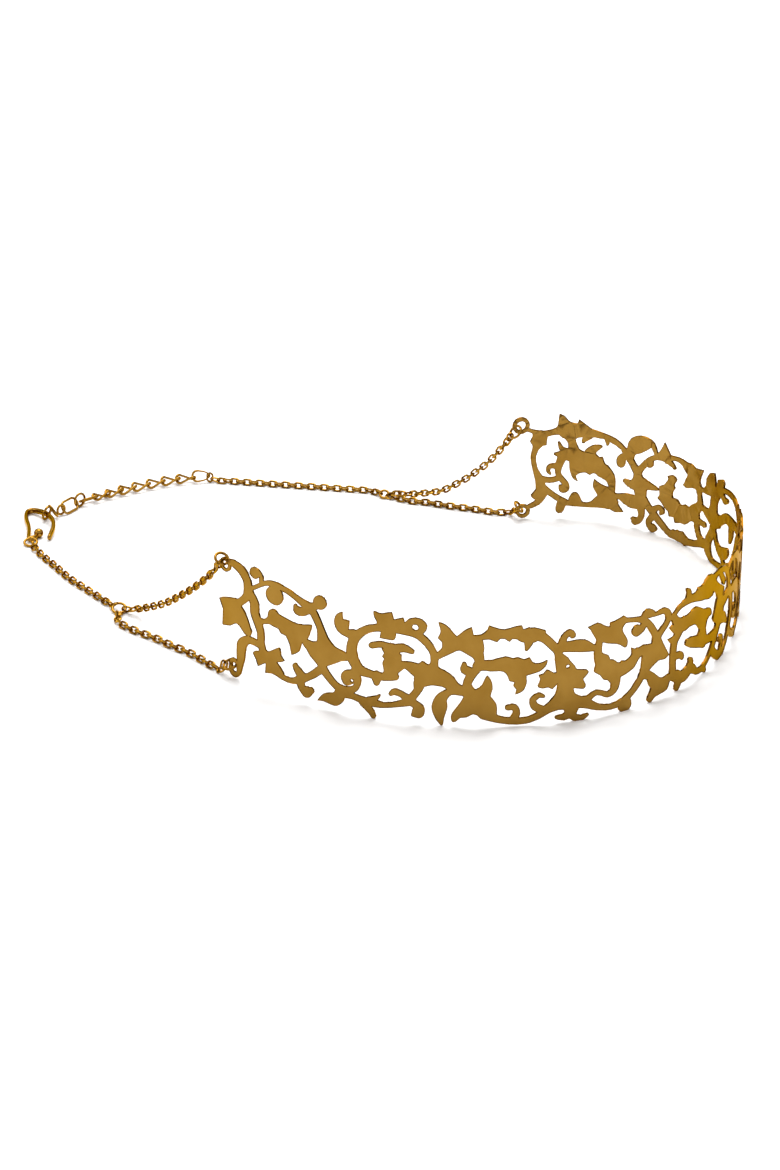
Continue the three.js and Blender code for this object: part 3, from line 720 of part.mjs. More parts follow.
// Round rings: centre, axis and middle radius.
const RINGS = [
  { name: "left_upper_ring", at: [-60.37, 11.72, 25.83], axis: [-0.33, -0.51, 0.8], radius: 1.38 },
  { name: "left_lower_ring", at: [-61.21, 10.01, 2.8], axis: [-0.4, 0.13, 0.91], radius: 1.41 },
  { name: "left_join_ring", at: [-40.88, 45.48, 0.87], axis: [-0.41, -0.16, 0.9], radius: 1.25 },
  { name: "hook_ring", at: [-15.2, 80.3, 0.65], axis: [-0.23, -0.09, 0.97], radius: 1.25 },
  { name: "right_upper_ring", at: [38.74, -16.82, 21.81], axis: [0.62, -0.43, -0.65], radius: 1.52 },
  { name: "right_lower_ring", at: [39.41, -17.71, 3.17], axis: [-0.15, 0.77, -0.62], radius: 1.35 },
  { name: "right_join_ring", at: [40.37, 16.07, 0.92], axis: [-0.52, -0.21, 0.83], radius: 1.05 },
];

// The clasp: a flattened wire bent into a hook, on its edge, from the curled end to the tip.
const HOOK_ROUTE = [[-10.9, 80.9, 0.85], [-12.3, 81, 0.85], [-12.6, 82, 0.82],
  [-9.7, 83.7, 0.8], [-7.1, 85.2, 0.78], [-4.1, 87.3, 0.75], [-1.6, 88.8, 0.75],
  [0.3, 89.4, 0.78], [1.3, 88.5, 0.85], [0.9, 86.8, 1.1], [-0.2, 84.9, 1.5], [-1.5, 83.4, 1.86],
  [-3, 81.6, 1.88], [-4.8, 80, 1.7], [-7.4, 78.7, 1.4], [-10, 78, 1], [-11.9, 77.5, 0.78]];
const HOOK_STEPS = 44;
const HOOK_BUTTON = { at: [-10.7, 80.7, 1.2], radius: 1.1, sides: 12 };

// The adjusting run: links laid along a route, each with the distance of its middle along it
// and its lean, the first ones upright and the rest leaning to one side and the other in turn.
const ADJUST_ROUTE = [[-1.4, 83.1], [1.4, 82.5], [2.9, 81.6], [5.6, 81.4], [9.7, 80.2],
  [14.6, 77.3], [20.3, 73.5], [23.3, 71.4], [26.3, 68.9], [29.1, 66.4], [31.5, 63.7],
  [33.1, 60.4], [34.2, 58.4]];
const ADJUST_HEIGHT = 1.32;
const ADJUST_PLACES = [17.2, 20.7, 24.2, 27.9, 31.7, 35.5, 39.2];
const LINK_SIDES = 6;
const LINK_STEPS = 18;
const LINKS = [
  { name: "catch_link", along: 3, length: 3.6, width: 2.65, wire: RING_WIRE, lean: -27,
    height: 1.87 },
  { name: "adjust_ring", along: 4.75, length: 3, width: 3, wire: RING_WIRE, lean: 90,
    height: 1.54 },
  { name: "adjust_loop", along: 7.65, length: 5.64, width: 3.3, wire: RING_WIRE, lean: 19.4,
    height: 1.28 },
  { name: "adjust_round", along: 10.58, length: 3.55, width: 3.55, wire: RING_WIRE, lean: 90,
    height: 1.81 },
  { name: "adjust_link_1", along: 13.37, length: LINK_LENGTH, width: LINK_WIDTH,
    wire: LINK_WIRE, lean: -27 },
];
ADJUST_PLACES.forEach((along, k) => {
  LINKS.push({ name: `adjust_link_${k + 2}`, along, length: LINK_LENGTH, width: LINK_WIDTH,
    wire: LINK_WIRE, lean: k % 2 ? -LEAN : LEAN });
});
LINKS.push({ name: "end_link", along: 42.8, length: 5, width: 3.1, wire: LINK_WIRE, lean: -LEAN });
const CATCH_RING = { name: "catch_ring", at: [-0.54, 84.44, 2.07], axis: [0.28, 1.27, -0.08],
  radius: 1.74 };

function tube(route, section, steps) {
  const path = new THREE.CatmullRomCurve3(route.map((p) => new THREE.Vector3(...p)), false,
    "centripetal");
  return new THREE.ExtrudeGeometry(section, { steps, bevelEnabled: false, extrudePath: path });
}

function roundSection(radius, sides) {
  return new THREE.Shape(Array.from({ length: sides }, (_, k) => {
    const angle = 2 * Math.PI * (k + 0.5) / sides;
    return new THREE.Vector2(radius * Math.cos(angle), radius * Math.sin(angle));
  }));
}

function fineChain({ route }) {
  const run = new THREE.CatmullRomCurve3(route.map((p) => new THREE.Vector3(...p))).getLength();
  return tube(route, roundSection(FINE_CHAIN / 2, FINE_SIDES), Math.round(run / FINE_STEP));
}

function ring({ at, axis, radius }) {
  const geometry = new THREE.TorusGeometry(radius, RING_WIRE, LINK_SIDES, LINK_STEPS);
  const turn = new THREE.Quaternion().setFromUnitVectors(new THREE.Vector3(0, 0, 1),
    new THREE.Vector3(...axis).normalize());
  return geometry.applyQuaternion(turn).translate(...at);
}

// A torus drawn out into a link with straight sides and round ends, along X.
function link({ length, width, wire }) {
  const bend = width / 2 - wire;
  const shift = length / 2 - width / 2;
  const geometry = new THREE.TorusGeometry(bend, wire, LINK_SIDES, LINK_STEPS);
  const position = geometry.attributes.position;
  for (let i = 0; i < position.count; i++) {
    const x = position.getX(i);
    if (Math.abs(x) > 1e-3) position.setX(i, x + Math.sign(x) * shift);
  }
  return geometry;
}

function alongRoute(route, distance) {
  let left = distance;
  for (let i = 0; i + 1 < route.length; i++) {
    const [a, b] = [route[i], route[i + 1]];
    const span = Math.hypot(b[0] - a[0], b[1] - a[1]);
    if (left <= span || i + 2 === route.length) {
      const t = left / span;
      return { x: a[0] + t * (b[0] - a[0]), y: a[1] + t * (b[1] - a[1]) };
    }
    left -= span;
  }
}

// A link laid on the adjusting route, pointing along it and leaning to its side.
function laidLink(row) {
  const reach = row.length / 2 - row.wire;
  const from = alongRoute(ADJUST_ROUTE, row.along - reach);
  const to = alongRoute(ADJUST_ROUTE, row.along + reach);
  const heading = Math.atan2(to.y - from.y, to.x - from.x);
  return link(row).rotateX(row.lean * Math.PI / 180).rotateZ(heading)
    .translate((from.x + to.x) / 2, (from.y + to.y) / 2, row.height ?? ADJUST_HEIGHT);
}

function hook() {
  const section = new THREE.Shape([[-1, -1], [1, -1], [1, 1], [-1, 1]]
    .map(([x, y]) => new THREE.Vector2(x * HOOK_TALL / 2, y * HOOK_THICK / 2)));
  const { at, radius, sides } = HOOK_BUTTON;
  const button = new THREE.SphereGeometry(radius, sides, sides / 2).translate(...at);
  const joined = solidOf(tube(HOOK_ROUTE, section, HOOK_STEPS)).add(solidOf(button)).getMesh();
  const geometry = new THREE.BufferGeometry();
  geometry.setAttribute("position", new THREE.Float32BufferAttribute(joined.vertProperties, 3));
  geometry.setIndex(Array.from(joined.triVerts));
  return geometry;
}

// ---------------------------------------------------------------- the necklace
const necklace = new THREE.Group();
necklace.position.set(CENTRE_X, CENTRE_Y, 0);

function addPiece(name, geometry, look) {
  const piece = new THREE.Mesh(geometry, new THREE.MeshStandardMaterial(look));
  piece.name = name;
  necklace.add(piece);
}

const SATIN_GOLD = { color: 0xae8433, roughness: 0.34, metalness: 1 };
const BRIGHT_GOLD = { color: 0xc08a34, roughness: 0.2, metalness: 1 };

addPiece("band", bentBand(), SATIN_GOLD);
for (const row of RINGS) addPiece(row.name, ring(row), BRIGHT_GOLD);
for (const row of FINE_CHAINS) addPiece(row.name, fineChain(row), BRIGHT_GOLD);
addPiece("hook", hook(), BRIGHT_GOLD);
addPiece(CATCH_RING.name, ring(CATCH_RING), BRIGHT_GOLD);
for (const row of LINKS) addPiece(row.name, laidLink(row), BRIGHT_GOLD);

export default necklace;
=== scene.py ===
"""Openwork scroll choker in gold-plated brass: a pierced band bent to the neck, fine cable
chains that join in pairs, a hook clasp and a run of larger curb links, lying on a pale table."""

import math

import bmesh
import bpy
from mathutils import Matrix, Vector


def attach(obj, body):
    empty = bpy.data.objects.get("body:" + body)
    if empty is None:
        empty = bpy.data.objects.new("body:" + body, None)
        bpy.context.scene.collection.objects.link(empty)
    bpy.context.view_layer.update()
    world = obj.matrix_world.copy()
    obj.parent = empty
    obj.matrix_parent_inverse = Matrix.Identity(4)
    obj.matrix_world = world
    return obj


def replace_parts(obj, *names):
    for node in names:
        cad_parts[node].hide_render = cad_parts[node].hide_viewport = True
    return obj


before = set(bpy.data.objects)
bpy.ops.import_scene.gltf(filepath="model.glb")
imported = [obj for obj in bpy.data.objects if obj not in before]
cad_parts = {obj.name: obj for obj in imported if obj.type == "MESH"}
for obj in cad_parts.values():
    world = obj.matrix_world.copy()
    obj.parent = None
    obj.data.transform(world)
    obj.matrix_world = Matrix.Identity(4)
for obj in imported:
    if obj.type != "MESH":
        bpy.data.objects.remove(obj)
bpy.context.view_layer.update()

# ---------------------------------------------------------------- table, light and camera
# The necklace stands on a plain white table, under a broad soft light from above and
# behind, in a studio that is dark along the horizon. The camera looks down at 24 degrees.
MM = 0.001
CAMERA_PLACE = Vector((-542.13, -222.28, 261.74)) * MM
CAMERA_LOOK = Vector((0.85056, 0.33333, -0.40674))
CAMERA_LENS = 90
CAMERA_SENSOR = 36
CAMERA_NEAR = 10 * MM

camera = bpy.data.objects.new("camera", bpy.data.cameras.new("camera"))
camera.data.lens = CAMERA_LENS
camera.data.sensor_fit = "VERTICAL"
camera.data.sensor_height = CAMERA_SENSOR
camera.data.clip_start = CAMERA_NEAR
camera.location = CAMERA_PLACE
camera.rotation_euler = CAMERA_LOOK.to_track_quat("-Z", "Y").to_euler()
bpy.context.scene.collection.objects.link(camera)
bpy.context.scene.camera = camera
bpy.context.scene.view_settings.view_transform = "Standard"

# Name, place and size of each light in metres, and its watts.
SOFT_LIGHTS = (
    ("overhead_light", (0.3, 0.12, 0.8), (0.7, 0.7), 7),
    ("side_light", (-0.3, 0.75, 0.5), (0.4, 0.5), 1.2),
)

for name, place, size, watts in SOFT_LIGHTS:
    lamp = bpy.data.lights.new(name, "AREA")
    lamp.shape = "RECTANGLE"
    lamp.size, lamp.size_y = size
    lamp.energy = watts
    light = bpy.data.objects.new(name, lamp)
    light.location = place
    light.rotation_euler = (-Vector(place)).to_track_quat("-Z", "Y").to_euler()
    bpy.context.scene.collection.objects.link(light)

# The studio's own glow: its ceiling is bright, its walls fall away to dark, and the camera
# sees only plain white beyond the table. Each step is a height, from straight down at 0 to
# straight up at 1, and a level.
GLOW_BY_HEIGHT = ((0, 0.3), (0.5, 0.16), (0.6, 0.2), (0.7, 1.2), (1, 1))
GLOW = 0.82

world = bpy.data.worlds.new("studio")
world.use_nodes = True
air, wires = world.node_tree.nodes, world.node_tree.links
height = air.new("ShaderNodeSeparateXYZ")
rise = air.new("ShaderNodeMapRange")
rise.inputs["From Min"].default_value = -1
glow = air.new("ShaderNodeValToRGB")
glow.color_ramp.elements.remove(glow.color_ramp.elements[1])
for spot, (position, level) in enumerate(GLOW_BY_HEIGHT):
    steps = glow.color_ramp.elements
    step = steps.new(position) if spot else steps[0]
    step.position = position
    step.color = (level, level, level, 1)
studio = air["Background"]
studio.inputs["Strength"].default_value = GLOW
plain = air.new("ShaderNodeBackground")
plain.inputs["Color"].default_value = (1, 1, 1, 1)
seen = air.new("ShaderNodeMixShader")
wires.new(air.new("ShaderNodeTexCoord").outputs["Generated"], height.inputs["Vector"])
wires.new(height.outputs["Z"], rise.inputs["Value"])
wires.new(rise.outputs["Result"], glow.inputs["Fac"])
wires.new(glow.outputs["Color"], studio.inputs["Color"])
wires.new(air.new("ShaderNodeLightPath").outputs["Is Camera Ray"], seen.inputs["Fac"])
wires.new(studio.outputs["Background"], seen.inputs[1])
wires.new(plain.outputs["Background"], seen.inputs[2])
wires.new(seen.outputs["Shader"], air["World Output"].inputs["Surface"])
bpy.context.scene.world = world

TABLE_WHITE = 0.97
TABLE_ROUGHNESS = 0.9
TABLE_SIZE = 4

paper = bpy.data.materials.new("table_white")
paper.use_nodes = True
surface = paper.node_tree.nodes["Principled BSDF"]
surface.inputs["Base Color"].default_value = (TABLE_WHITE, TABLE_WHITE, TABLE_WHITE, 1)
surface.inputs["Roughness"].default_value = TABLE_ROUGHNESS
table_mesh = bpy.data.meshes.new("table")
table_form = bmesh.new()
bmesh.ops.create_grid(table_form, x_segments=1, y_segments=1, size=TABLE_SIZE)
table_form.to_mesh(table_mesh)
table_form.free()
table_mesh.materials.append(paper)
table = bpy.data.objects.new("table", table_mesh)
bpy.context.scene.collection.objects.link(table)

# ---------------------------------------------------------------- band
# The band is 0.5 mm brass sheet, sawn through into scrolls and leaves, bent to the neck,
# its cut edges broken by polishing, and plated in a satin gold.
SHEET = 0.5 * MM
# The plan's own origin lies this far from the frame's, in millimetres.
CENTRE_X = 11.417
CENTRE_Y = -4.156
PLAN_START = Vector((-60.75 + CENTRE_X, 10.87 + CENTRE_Y)) * MM
PLAN_HEADING = math.radians(-114.6)
# Length in millimetres and turn in degrees of each arc of the plan, from the left end.
PLAN_ARCS = (
    (26, 17.5),
    (22, 19),
    (22, 19.5),
    (22, 24.5),
    (22, 25),
    (22, 16),
    (22, 19.5),
    (22, 24.5),
    (22, 31),
    (24, 44),
)
LEAD_IN = 10 * MM
ARC_SLACK = 1e-6
RULING_STEP = 1.4 * MM
RULING_SLACK = 1e-7
EDGE_BREAK = 0.13 * MM
WELD = 0.004 * MM
SHORTEST_STEP = 0.05 * MM
CORNER_ANGLE = math.radians(48)
SOFTEN = 0.2
FOOT_TRIM = 0.02 * MM
FLAT = 0.03 * MM
# A cut wall's normal has less than this of its length across the sheet.
WALL_LEAN = 0.5


def plan_stations():
    """Start distance, point, heading, radius and turn of every arc of the plan."""
    place, heading, along = PLAN_START.copy(), PLAN_HEADING, 0.0
    for length, turn in PLAN_ARCS:
        length, turn = length * MM, math.radians(turn)
        radius = length / turn
        yield along, place.copy(), heading, radius, turn
        chord = 2 * radius * math.sin(turn / 2)
        middle = heading + turn / 2
        place = place + chord * Vector((math.cos(middle), math.sin(middle)))
        heading += turn
        along += length
    yield along, place, heading, math.inf, 0.0


STATIONS = list(plan_stations())
BAND_LENGTH = STATIONS[-1][0]


def ahead(heading):
    return Vector((math.cos(heading), math.sin(heading)))


def outward(heading):
    return Vector((math.sin(heading), -math.cos(heading)))


def unrolled(point):
    """A point of the bent band as (distance along it, depth outward, height)."""
    flat = Vector((point.x, point.y))
    _, place, heading, _, _ = STATIONS[0]
    arm = flat - place
    if arm.dot(ahead(heading)) < 0 and arm.length < LEAD_IN:
        return Vector((arm.dot(ahead(heading)), arm.dot(outward(heading)), point.z))
    for along, place, heading, radius, turn in STATIONS[:-1]:
        centre = place - radius * outward(heading)
        arm = flat - centre
        angle = math.atan2(arm.dot(ahead(heading)), arm.dot(outward(heading)))
        if -ARC_SLACK <= angle <= turn + ARC_SLACK:
            return Vector((along + angle * radius, arm.length - radius, point.z))
    along, place, heading, _, _ = STATIONS[-1]
    arm = flat - place
    return Vector((along + arm.dot(ahead(heading)), arm.dot(outward(heading)), point.z))


def bent(point):
    """The place on the bent band of a point of the unrolled one."""
    along, place, heading, radius, _ = [s for s in STATIONS if s[0] <= max(point.x, 0)][-1]
    run = point.x - along
    if point.x < 0 or math.isinf(radius):
        spot = place + run * ahead(heading) + point.y * outward(heading)
    else:
        angle = run / radius
        centre = place - radius * outward(heading)
        spot = centre + (radius + point.y) * outward(heading + angle)
    return Vector((spot.x, spot.y, point.z))


GOLD_TINT = (1, 0.72, 0.32, 1)
PATCH_SCALE = 160
PATCH_DETAIL = 4
PATCH_START = 0.3
PATCH_END = 0.7
SATIN_SCALE = 1300
SATIN_DETAIL = 3
SATIN_SPREAD = 0.07
SCRATCH_SCALE = 900
SCRATCH_DETAIL = 5
SCRATCH_STRETCH = (1, 1, 0.25)
SCRATCH_DEPTH = 0.02 * MM


def gold(name, colour, deep, roughness, grain):
    """Plated metal: a base colour that deepens in patches, soft grain and fine scratches."""
    material = bpy.data.materials.new(name)
    material.use_nodes = True
    nodes, links = material.node_tree.nodes, material.node_tree.links
    shader = nodes["Principled BSDF"]
    shader.inputs["Metallic"].default_value = 1
    shader.inputs["Specular Tint"].default_value = GOLD_TINT
    place = nodes.new("ShaderNodeTexCoord").outputs["Object"]

    def noise(scale, detail, stretch=(1, 1, 1)):
        mapping = nodes.new("ShaderNodeMapping")
        mapping.inputs["Scale"].default_value = stretch
        pattern = nodes.new("ShaderNodeTexNoise")
        pattern.inputs["Scale"].default_value = scale
        pattern.inputs["Detail"].default_value = detail
        links.new(place, mapping.inputs["Vector"])
        links.new(mapping.outputs["Vector"], pattern.inputs["Vector"])
        return pattern.outputs["Fac"]

    tone = nodes.new("ShaderNodeValToRGB")
    tone.color_ramp.elements[0].position = PATCH_START
    tone.color_ramp.elements[0].color = (*deep, 1)
    tone.color_ramp.elements[1].position = PATCH_END
    tone.color_ramp.elements[1].color = (*colour, 1)
    links.new(noise(PATCH_SCALE, PATCH_DETAIL), tone.inputs["Fac"])
    links.new(tone.outputs["Color"], shader.inputs["Base Color"])

    satin = nodes.new("ShaderNodeMapRange")
    satin.inputs["To Min"].default_value = roughness - SATIN_SPREAD
    satin.inputs["To Max"].default_value = roughness + SATIN_SPREAD
    links.new(noise(SATIN_SCALE, SATIN_DETAIL), satin.inputs["Value"])
    links.new(satin.outputs["Result"], shader.inputs["Roughness"])

    ripple = nodes.new("ShaderNodeBump")
    ripple.inputs["Strength"].default_value = grain
    ripple.inputs["Distance"].default_value = SCRATCH_DEPTH
    links.new(noise(SCRATCH_SCALE, SCRATCH_DETAIL, SCRATCH_STRETCH), ripple.inputs["Height"])
    links.new(ripple.outputs["Normal"], shader.inputs["Normal"])
    return material


satin_gold = gold("satin_gold", (0.308, 0.168, 0.031), (0.256, 0.132, 0.02), 0.32, 0.35)
# The broken rims get a darker gold than the face. The darker colour is painted shade, standing in
# for the dark reflections along the cut edges. Their lower roughness is real polish.
polished_edge_painted_shade = gold("polished_edge_painted_shade", (0.21, 0.098, 0.012), (0.15, 0.066, 0.008), 0.16, 0.2)
# The cut walls get a darker, browner gold still. The darker colour is painted shade, standing in
# for the shade and dark reflections on the walls. Their roughness and grain are real.
sawn_gold_painted_shade = gold("sawn_gold_painted_shade", (0.17, 0.074, 0.009), (0.12, 0.048, 0.005), 0.22, 0.4)
FACE_FINISH, EDGE_FINISH_AND_PAINTED_SHADE, WALL_FINISH_AND_PAINTED_SHADE = range(3)


def new_piece(name, form, materials):
    """Makes a finished piece of a bmesh, riding on the frame."""
    mesh = bpy.data.meshes.new(name)
    form.to_mesh(mesh)
    form.free()
    for material in materials:
        mesh.materials.append(material)
    piece = bpy.data.objects.new(name, mesh)
    bpy.context.scene.collection.objects.link(piece)
    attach(piece, "root")
    return piece


def finish_edges(form):
    """Smooths every face and keeps the edges at real corners crisp."""
    form.normal_update()
    for face in form.faces:
        face.smooth = True
    for edge in form.edges:
        edge.smooth = edge.smooth and edge.calc_face_angle(0) < CORNER_ANGLE


def ease_outline(form):
    """Halves every step of the outline and rounds it through its points, but for corners."""
    tangents = {}
    for vert in form.verts:
        back, on = (e.other_vert(vert).co - vert.co for e in vert.link_edges)
        if back.angle(on, 0) > math.pi - CORNER_ANGLE:
            flow = on.normalized() * back.length - back.normalized() * on.length
            tangents[vert] = flow.normalized()
    halved = bmesh.ops.subdivide_edges(form, edges=form.edges[:], cuts=1)
    for vert in [g for g in halved["geom_inner"] if isinstance(g, bmesh.types.BMVert)]:
        start, end = (e.other_vert(vert) for e in vert.link_edges)
        span = end.co - start.co
        leave, arrive = (tangents.get(v, span.normalized()) for v in (start, end))
        leave = leave if leave.dot(span) > 0 else -leave
        arrive = arrive if arrive.dot(span) > 0 else -arrive
        vert.co = (start.co + end.co) / 2 + (leave - arrive) * span.length / 8


def soften_outline(form, share):
    """Draws each point of the outline a little towards the middle of its neighbours."""
    moves = {}
    for vert in form.verts:
        before, after = (e.other_vert(vert).co for e in vert.link_edges)
        moves[vert] = ((before + after) / 2 - vert.co) * share
    for vert, move in moves.items():
        if vert.co.z > FOOT_TRIM:
            vert.co += move


def divide(form, faces, start, first, last):
    """Cuts the faces at each ruling from the first to the last, halving the run each time."""
    if first > last or not faces:
        return
    middle = (first + last) // 2
    place = start + middle * RULING_STEP
    around = {e for f in faces for e in f.edges} | {v for f in faces for v in f.verts}
    cut = bmesh.ops.bisect_plane(
        form,
        geom=list(around) + list(faces),
        plane_co=(place, 0, 0),
        plane_no=(1, 0, 0),
        dist=RULING_SLACK,
    )
    both = [g for g in cut["geom"] if isinstance(g, bmesh.types.BMFace)]
    behind = [f for f in both if f.calc_center_median().x < place]
    beyond = [f for f in both if f.calc_center_median().x >= place]
    divide(form, behind, start, first, middle - 1)
    divide(form, beyond, start, middle + 1, last)


# The outline of the sheet's front is taken flat, eased, filled and given the thickness.
sheet = bmesh.new()
sheet.from_mesh(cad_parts["band"].data)
bmesh.ops.remove_doubles(sheet, verts=sheet.verts, dist=WELD)
for vert in sheet.verts:
    vert.co = unrolled(vert.co)
front = {f for f in sheet.faces if all(v.co.y > 0 for v in f.verts)}
cuts = {e for e in sheet.edges if sum(f in front for f in e.link_faces) == 1}
bmesh.ops.delete(sheet, geom=sheet.faces[:], context="FACES_ONLY")
bmesh.ops.delete(sheet, geom=[e for e in sheet.edges if e not in cuts], context="EDGES")
bmesh.ops.delete(sheet, geom=[v for v in sheet.verts if not v.link_edges], context="VERTS")
for vert in sheet.verts:
    vert.co.y = SHEET / 2
bmesh.ops.remove_doubles(sheet, verts=sheet.verts, dist=SHORTEST_STEP)
ease_outline(sheet)
soften_outline(sheet, SOFTEN)
# The fill is made at a thousand times the size, because it would join points this close.
bmesh.ops.scale(sheet, verts=sheet.verts, vec=(1 / MM, 1 / MM, 1 / MM))
bmesh.ops.triangle_fill(
    sheet, use_beauty=True, use_dissolve=False, edges=sheet.edges[:], normal=(0, 1, 0)
)
bmesh.ops.scale(sheet, verts=sheet.verts, vec=(MM, MM, MM))
back = bmesh.ops.extrude_face_region(sheet, geom=sheet.faces[:], use_keep_orig=True)
back_points = [g for g in back["geom"] if isinstance(g, bmesh.types.BMVert)]
bmesh.ops.translate(sheet, verts=back_points, vec=(0, -SHEET, 0))
bmesh.ops.recalc_face_normals(sheet, faces=sheet.faces)

# Both rims of the sheet are broken: a narrow border is inset on each side, and its outer
# line is set back from the face.
for side in (1, -1):
    depth = side * SHEET / 2
    face_side = {f for f in sheet.faces if all(abs(v.co.y - depth) < FLAT for v in f.verts)}
    rim = {v for f in face_side for v in f.verts if any(g not in face_side for g in v.link_faces)}
    border = bmesh.ops.inset_region(
        sheet, faces=list(face_side), thickness=EDGE_BREAK, use_even_offset=False
    )
    # The inset border takes the edge material. Its darker colour is painted shade and its lower
    # roughness is real polish.
    for face in border["faces"]:
        face.material_index = EDGE_FINISH_AND_PAINTED_SHADE
    for vert in rim:
        vert.co.y -= side * EDGE_BREAK
sheet.normal_update()
# Faces that lean across the sheet are the cut walls and take the wall material, whose darker
# colour is painted shade.
for face in sheet.faces:
    if face.material_index == FACE_FINISH and abs(face.normal.y) < WALL_LEAN:
        face.material_index = WALL_FINISH_AND_PAINTED_SHADE
for edge in sheet.edges:
    edge.smooth = {f.material_index for f in edge.link_faces} != {FACE_FINISH, EDGE_FINISH_AND_PAINTED_SHADE}

low = min(v.co.x for v in sheet.verts)
high = max(v.co.x for v in sheet.verts)
divide(sheet, sheet.faces[:], low, 1, int((high - low) / RULING_STEP))
for vert in sheet.verts:
    vert.co = bent(vert.co)
finish_edges(sheet)
band = new_piece("scroll_band", sheet, (satin_gold, polished_edge_painted_shade, sawn_gold_painted_shade))
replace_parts(band, "band")

# ---------------------------------------------------------------- rings
# Small jump rings of round wire: four at the eyes in the band's corners, two where the chains
# join in pairs, one at the hook's near end and one that the hook catches.
bright_gold = gold("bright_gold", (0.37, 0.195, 0.03), (0.27, 0.127, 0.015), 0.17, 0.15)
RING_WIRE = 0.3 * MM
RING_STEPS = 40
RING_SIDES = 12
# Name, middle, the way that the ring's axis points, and its radius to the wire's middle.
RINGS = (
    ("left_upper_ring", (-60.37, 11.72, 25.83), (-0.33, -0.51, 0.8), 1.38),
    ("left_lower_ring", (-61.21, 10.01, 2.8), (-0.4, 0.13, 0.91), 1.41),
    ("left_join_ring", (-40.88, 45.48, 0.92), (-0.38, -0.16, 0.9), 1.42),
    ("hook_ring", (-15.2, 80.4, 0.72), (-0.23, -0.09, 0.97), 1.42),
    ("right_upper_ring", (38.74, -16.82, 21.81), (0.62, -0.43, -0.65), 1.52),
    ("right_lower_ring", (39.41, -17.71, 3.17), (-0.15, 0.77, -0.62), 1.35),
    ("right_join_ring", (40.37, 16.07, 0.92), (-0.52, -0.21, 0.83), 1.05),
    ("catch_ring", (-0.72, 83.75, 1.87), (-0.056, -0.961, -0.268), 1.62),
)


def placed(point):
    """A point of the necklace's own plan, in millimetres, in the frame."""
    return (Vector(point) + Vector((CENTRE_X, CENTRE_Y, 0))) * MM


def wire_loop(length, width, wire, steps, sides):
    """A closed link along X: a round wire spun into a ring, then drawn out to its length."""
    form = bmesh.new()
    section = bmesh.ops.create_circle(form, segments=sides, radius=wire)
    bmesh.ops.rotate(form, verts=section["verts"], matrix=Matrix.Rotation(math.pi / 2, 3, "X"))
    bmesh.ops.translate(form, verts=section["verts"], vec=(width / 2 - wire, 0, 0))
    bmesh.ops.spin(
        form,
        geom=form.verts[:] + form.edges[:],
        cent=(0, 0, 0),
        axis=(0, 0, 1),
        angle=2 * math.pi,
        steps=steps,
        use_merge=True,
    )
    bmesh.ops.rotate(form, verts=form.verts, matrix=Matrix.Rotation(math.pi / steps, 3, "Z"))
    for vert in form.verts:
        vert.co.x += math.copysign(length / 2 - width / 2, vert.co.x)
    bmesh.ops.recalc_face_normals(form, faces=form.faces)
    return form


for name, place, axis, radius in RINGS:
    across = 2 * (radius * MM + RING_WIRE)
    jump_ring = wire_loop(across, across, RING_WIRE, RING_STEPS, RING_SIDES)
    turn = Vector((0, 0, 1)).rotation_difference(Vector(axis))
    bmesh.ops.rotate(jump_ring, verts=jump_ring.verts, matrix=turn.to_matrix())
    bmesh.ops.translate(jump_ring, verts=jump_ring.verts, vec=placed(place))
    finish_edges(jump_ring)
    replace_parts(new_piece(f"{name}_wire", jump_ring, [bright_gold]), name)

# ---------------------------------------------------------------- adjusting run
# A small ring, a long loop and a round link lead to a run of curb links, and a pear-shaped
# link ends it. All the curb links but the first are twisted a quarter turn.
ADJUST_ROUTE = (
    (-1.4, 83.1), (1.4, 82.5), (2.9, 81.6), (5.6, 81.4), (9.7, 80.2), (14.6, 77.3), (20.3, 73.5),
    (23.3, 71.4), (26.3, 68.9), (29.1, 66.4), (31.5, 63.7), (33.1, 60.4), (34.2, 58.4),
)
ADJUST_WIRE = 0.29 * MM
CURB_WIRE = 0.32 * MM
CURB_LENGTH = 5.2
CURB_WIDTH = 2.95
CURB_TWIST = -45
CURB_LEAN = 4
TABLE_GAP = 0.02 * MM
# Name, distance along the run, length, width, height of the middle, lean, twist and taper.
ADJUST_LINKS = (
    ("adjust_ring", 4.4, 2.8, 2.8, 1.55, 90, 0, 0),
    ("adjust_loop", 7.4, 6, 3.4, 1.6, 60, 0, 0),
    ("adjust_round", 11, 3.6, 3.6, 1.82, 90, 0, 0),
    ("adjust_link_1", 13.6, CURB_LENGTH, CURB_WIDTH, 1.32, -29, 0, 0),
    ("adjust_link_2", 17.2, CURB_LENGTH, CURB_WIDTH, 1.34, -18, CURB_TWIST, 0),
    ("adjust_link_3", 20.7, CURB_LENGTH, CURB_WIDTH, 1.34, -8, CURB_TWIST, 0),
    ("adjust_link_4", 24.2, CURB_LENGTH, CURB_WIDTH, 1.34, CURB_LEAN, CURB_TWIST, 0),
    ("adjust_link_5", 27.9, CURB_LENGTH, CURB_WIDTH, 1.34, CURB_LEAN, CURB_TWIST, 0),
    ("adjust_link_6", 31.7, CURB_LENGTH, CURB_WIDTH, 1.34, CURB_LEAN, CURB_TWIST, 0),
    ("adjust_link_7", 35.5, CURB_LENGTH, CURB_WIDTH, 1.34, CURB_LEAN, CURB_TWIST, 0),
    ("adjust_link_8", 39.2, CURB_LENGTH, CURB_WIDTH, 1.34, CURB_LEAN, CURB_TWIST, 0),
    ("end_link", 42.9, 4.6, 3.7, 1.75, 60, 0, 0.5),
)


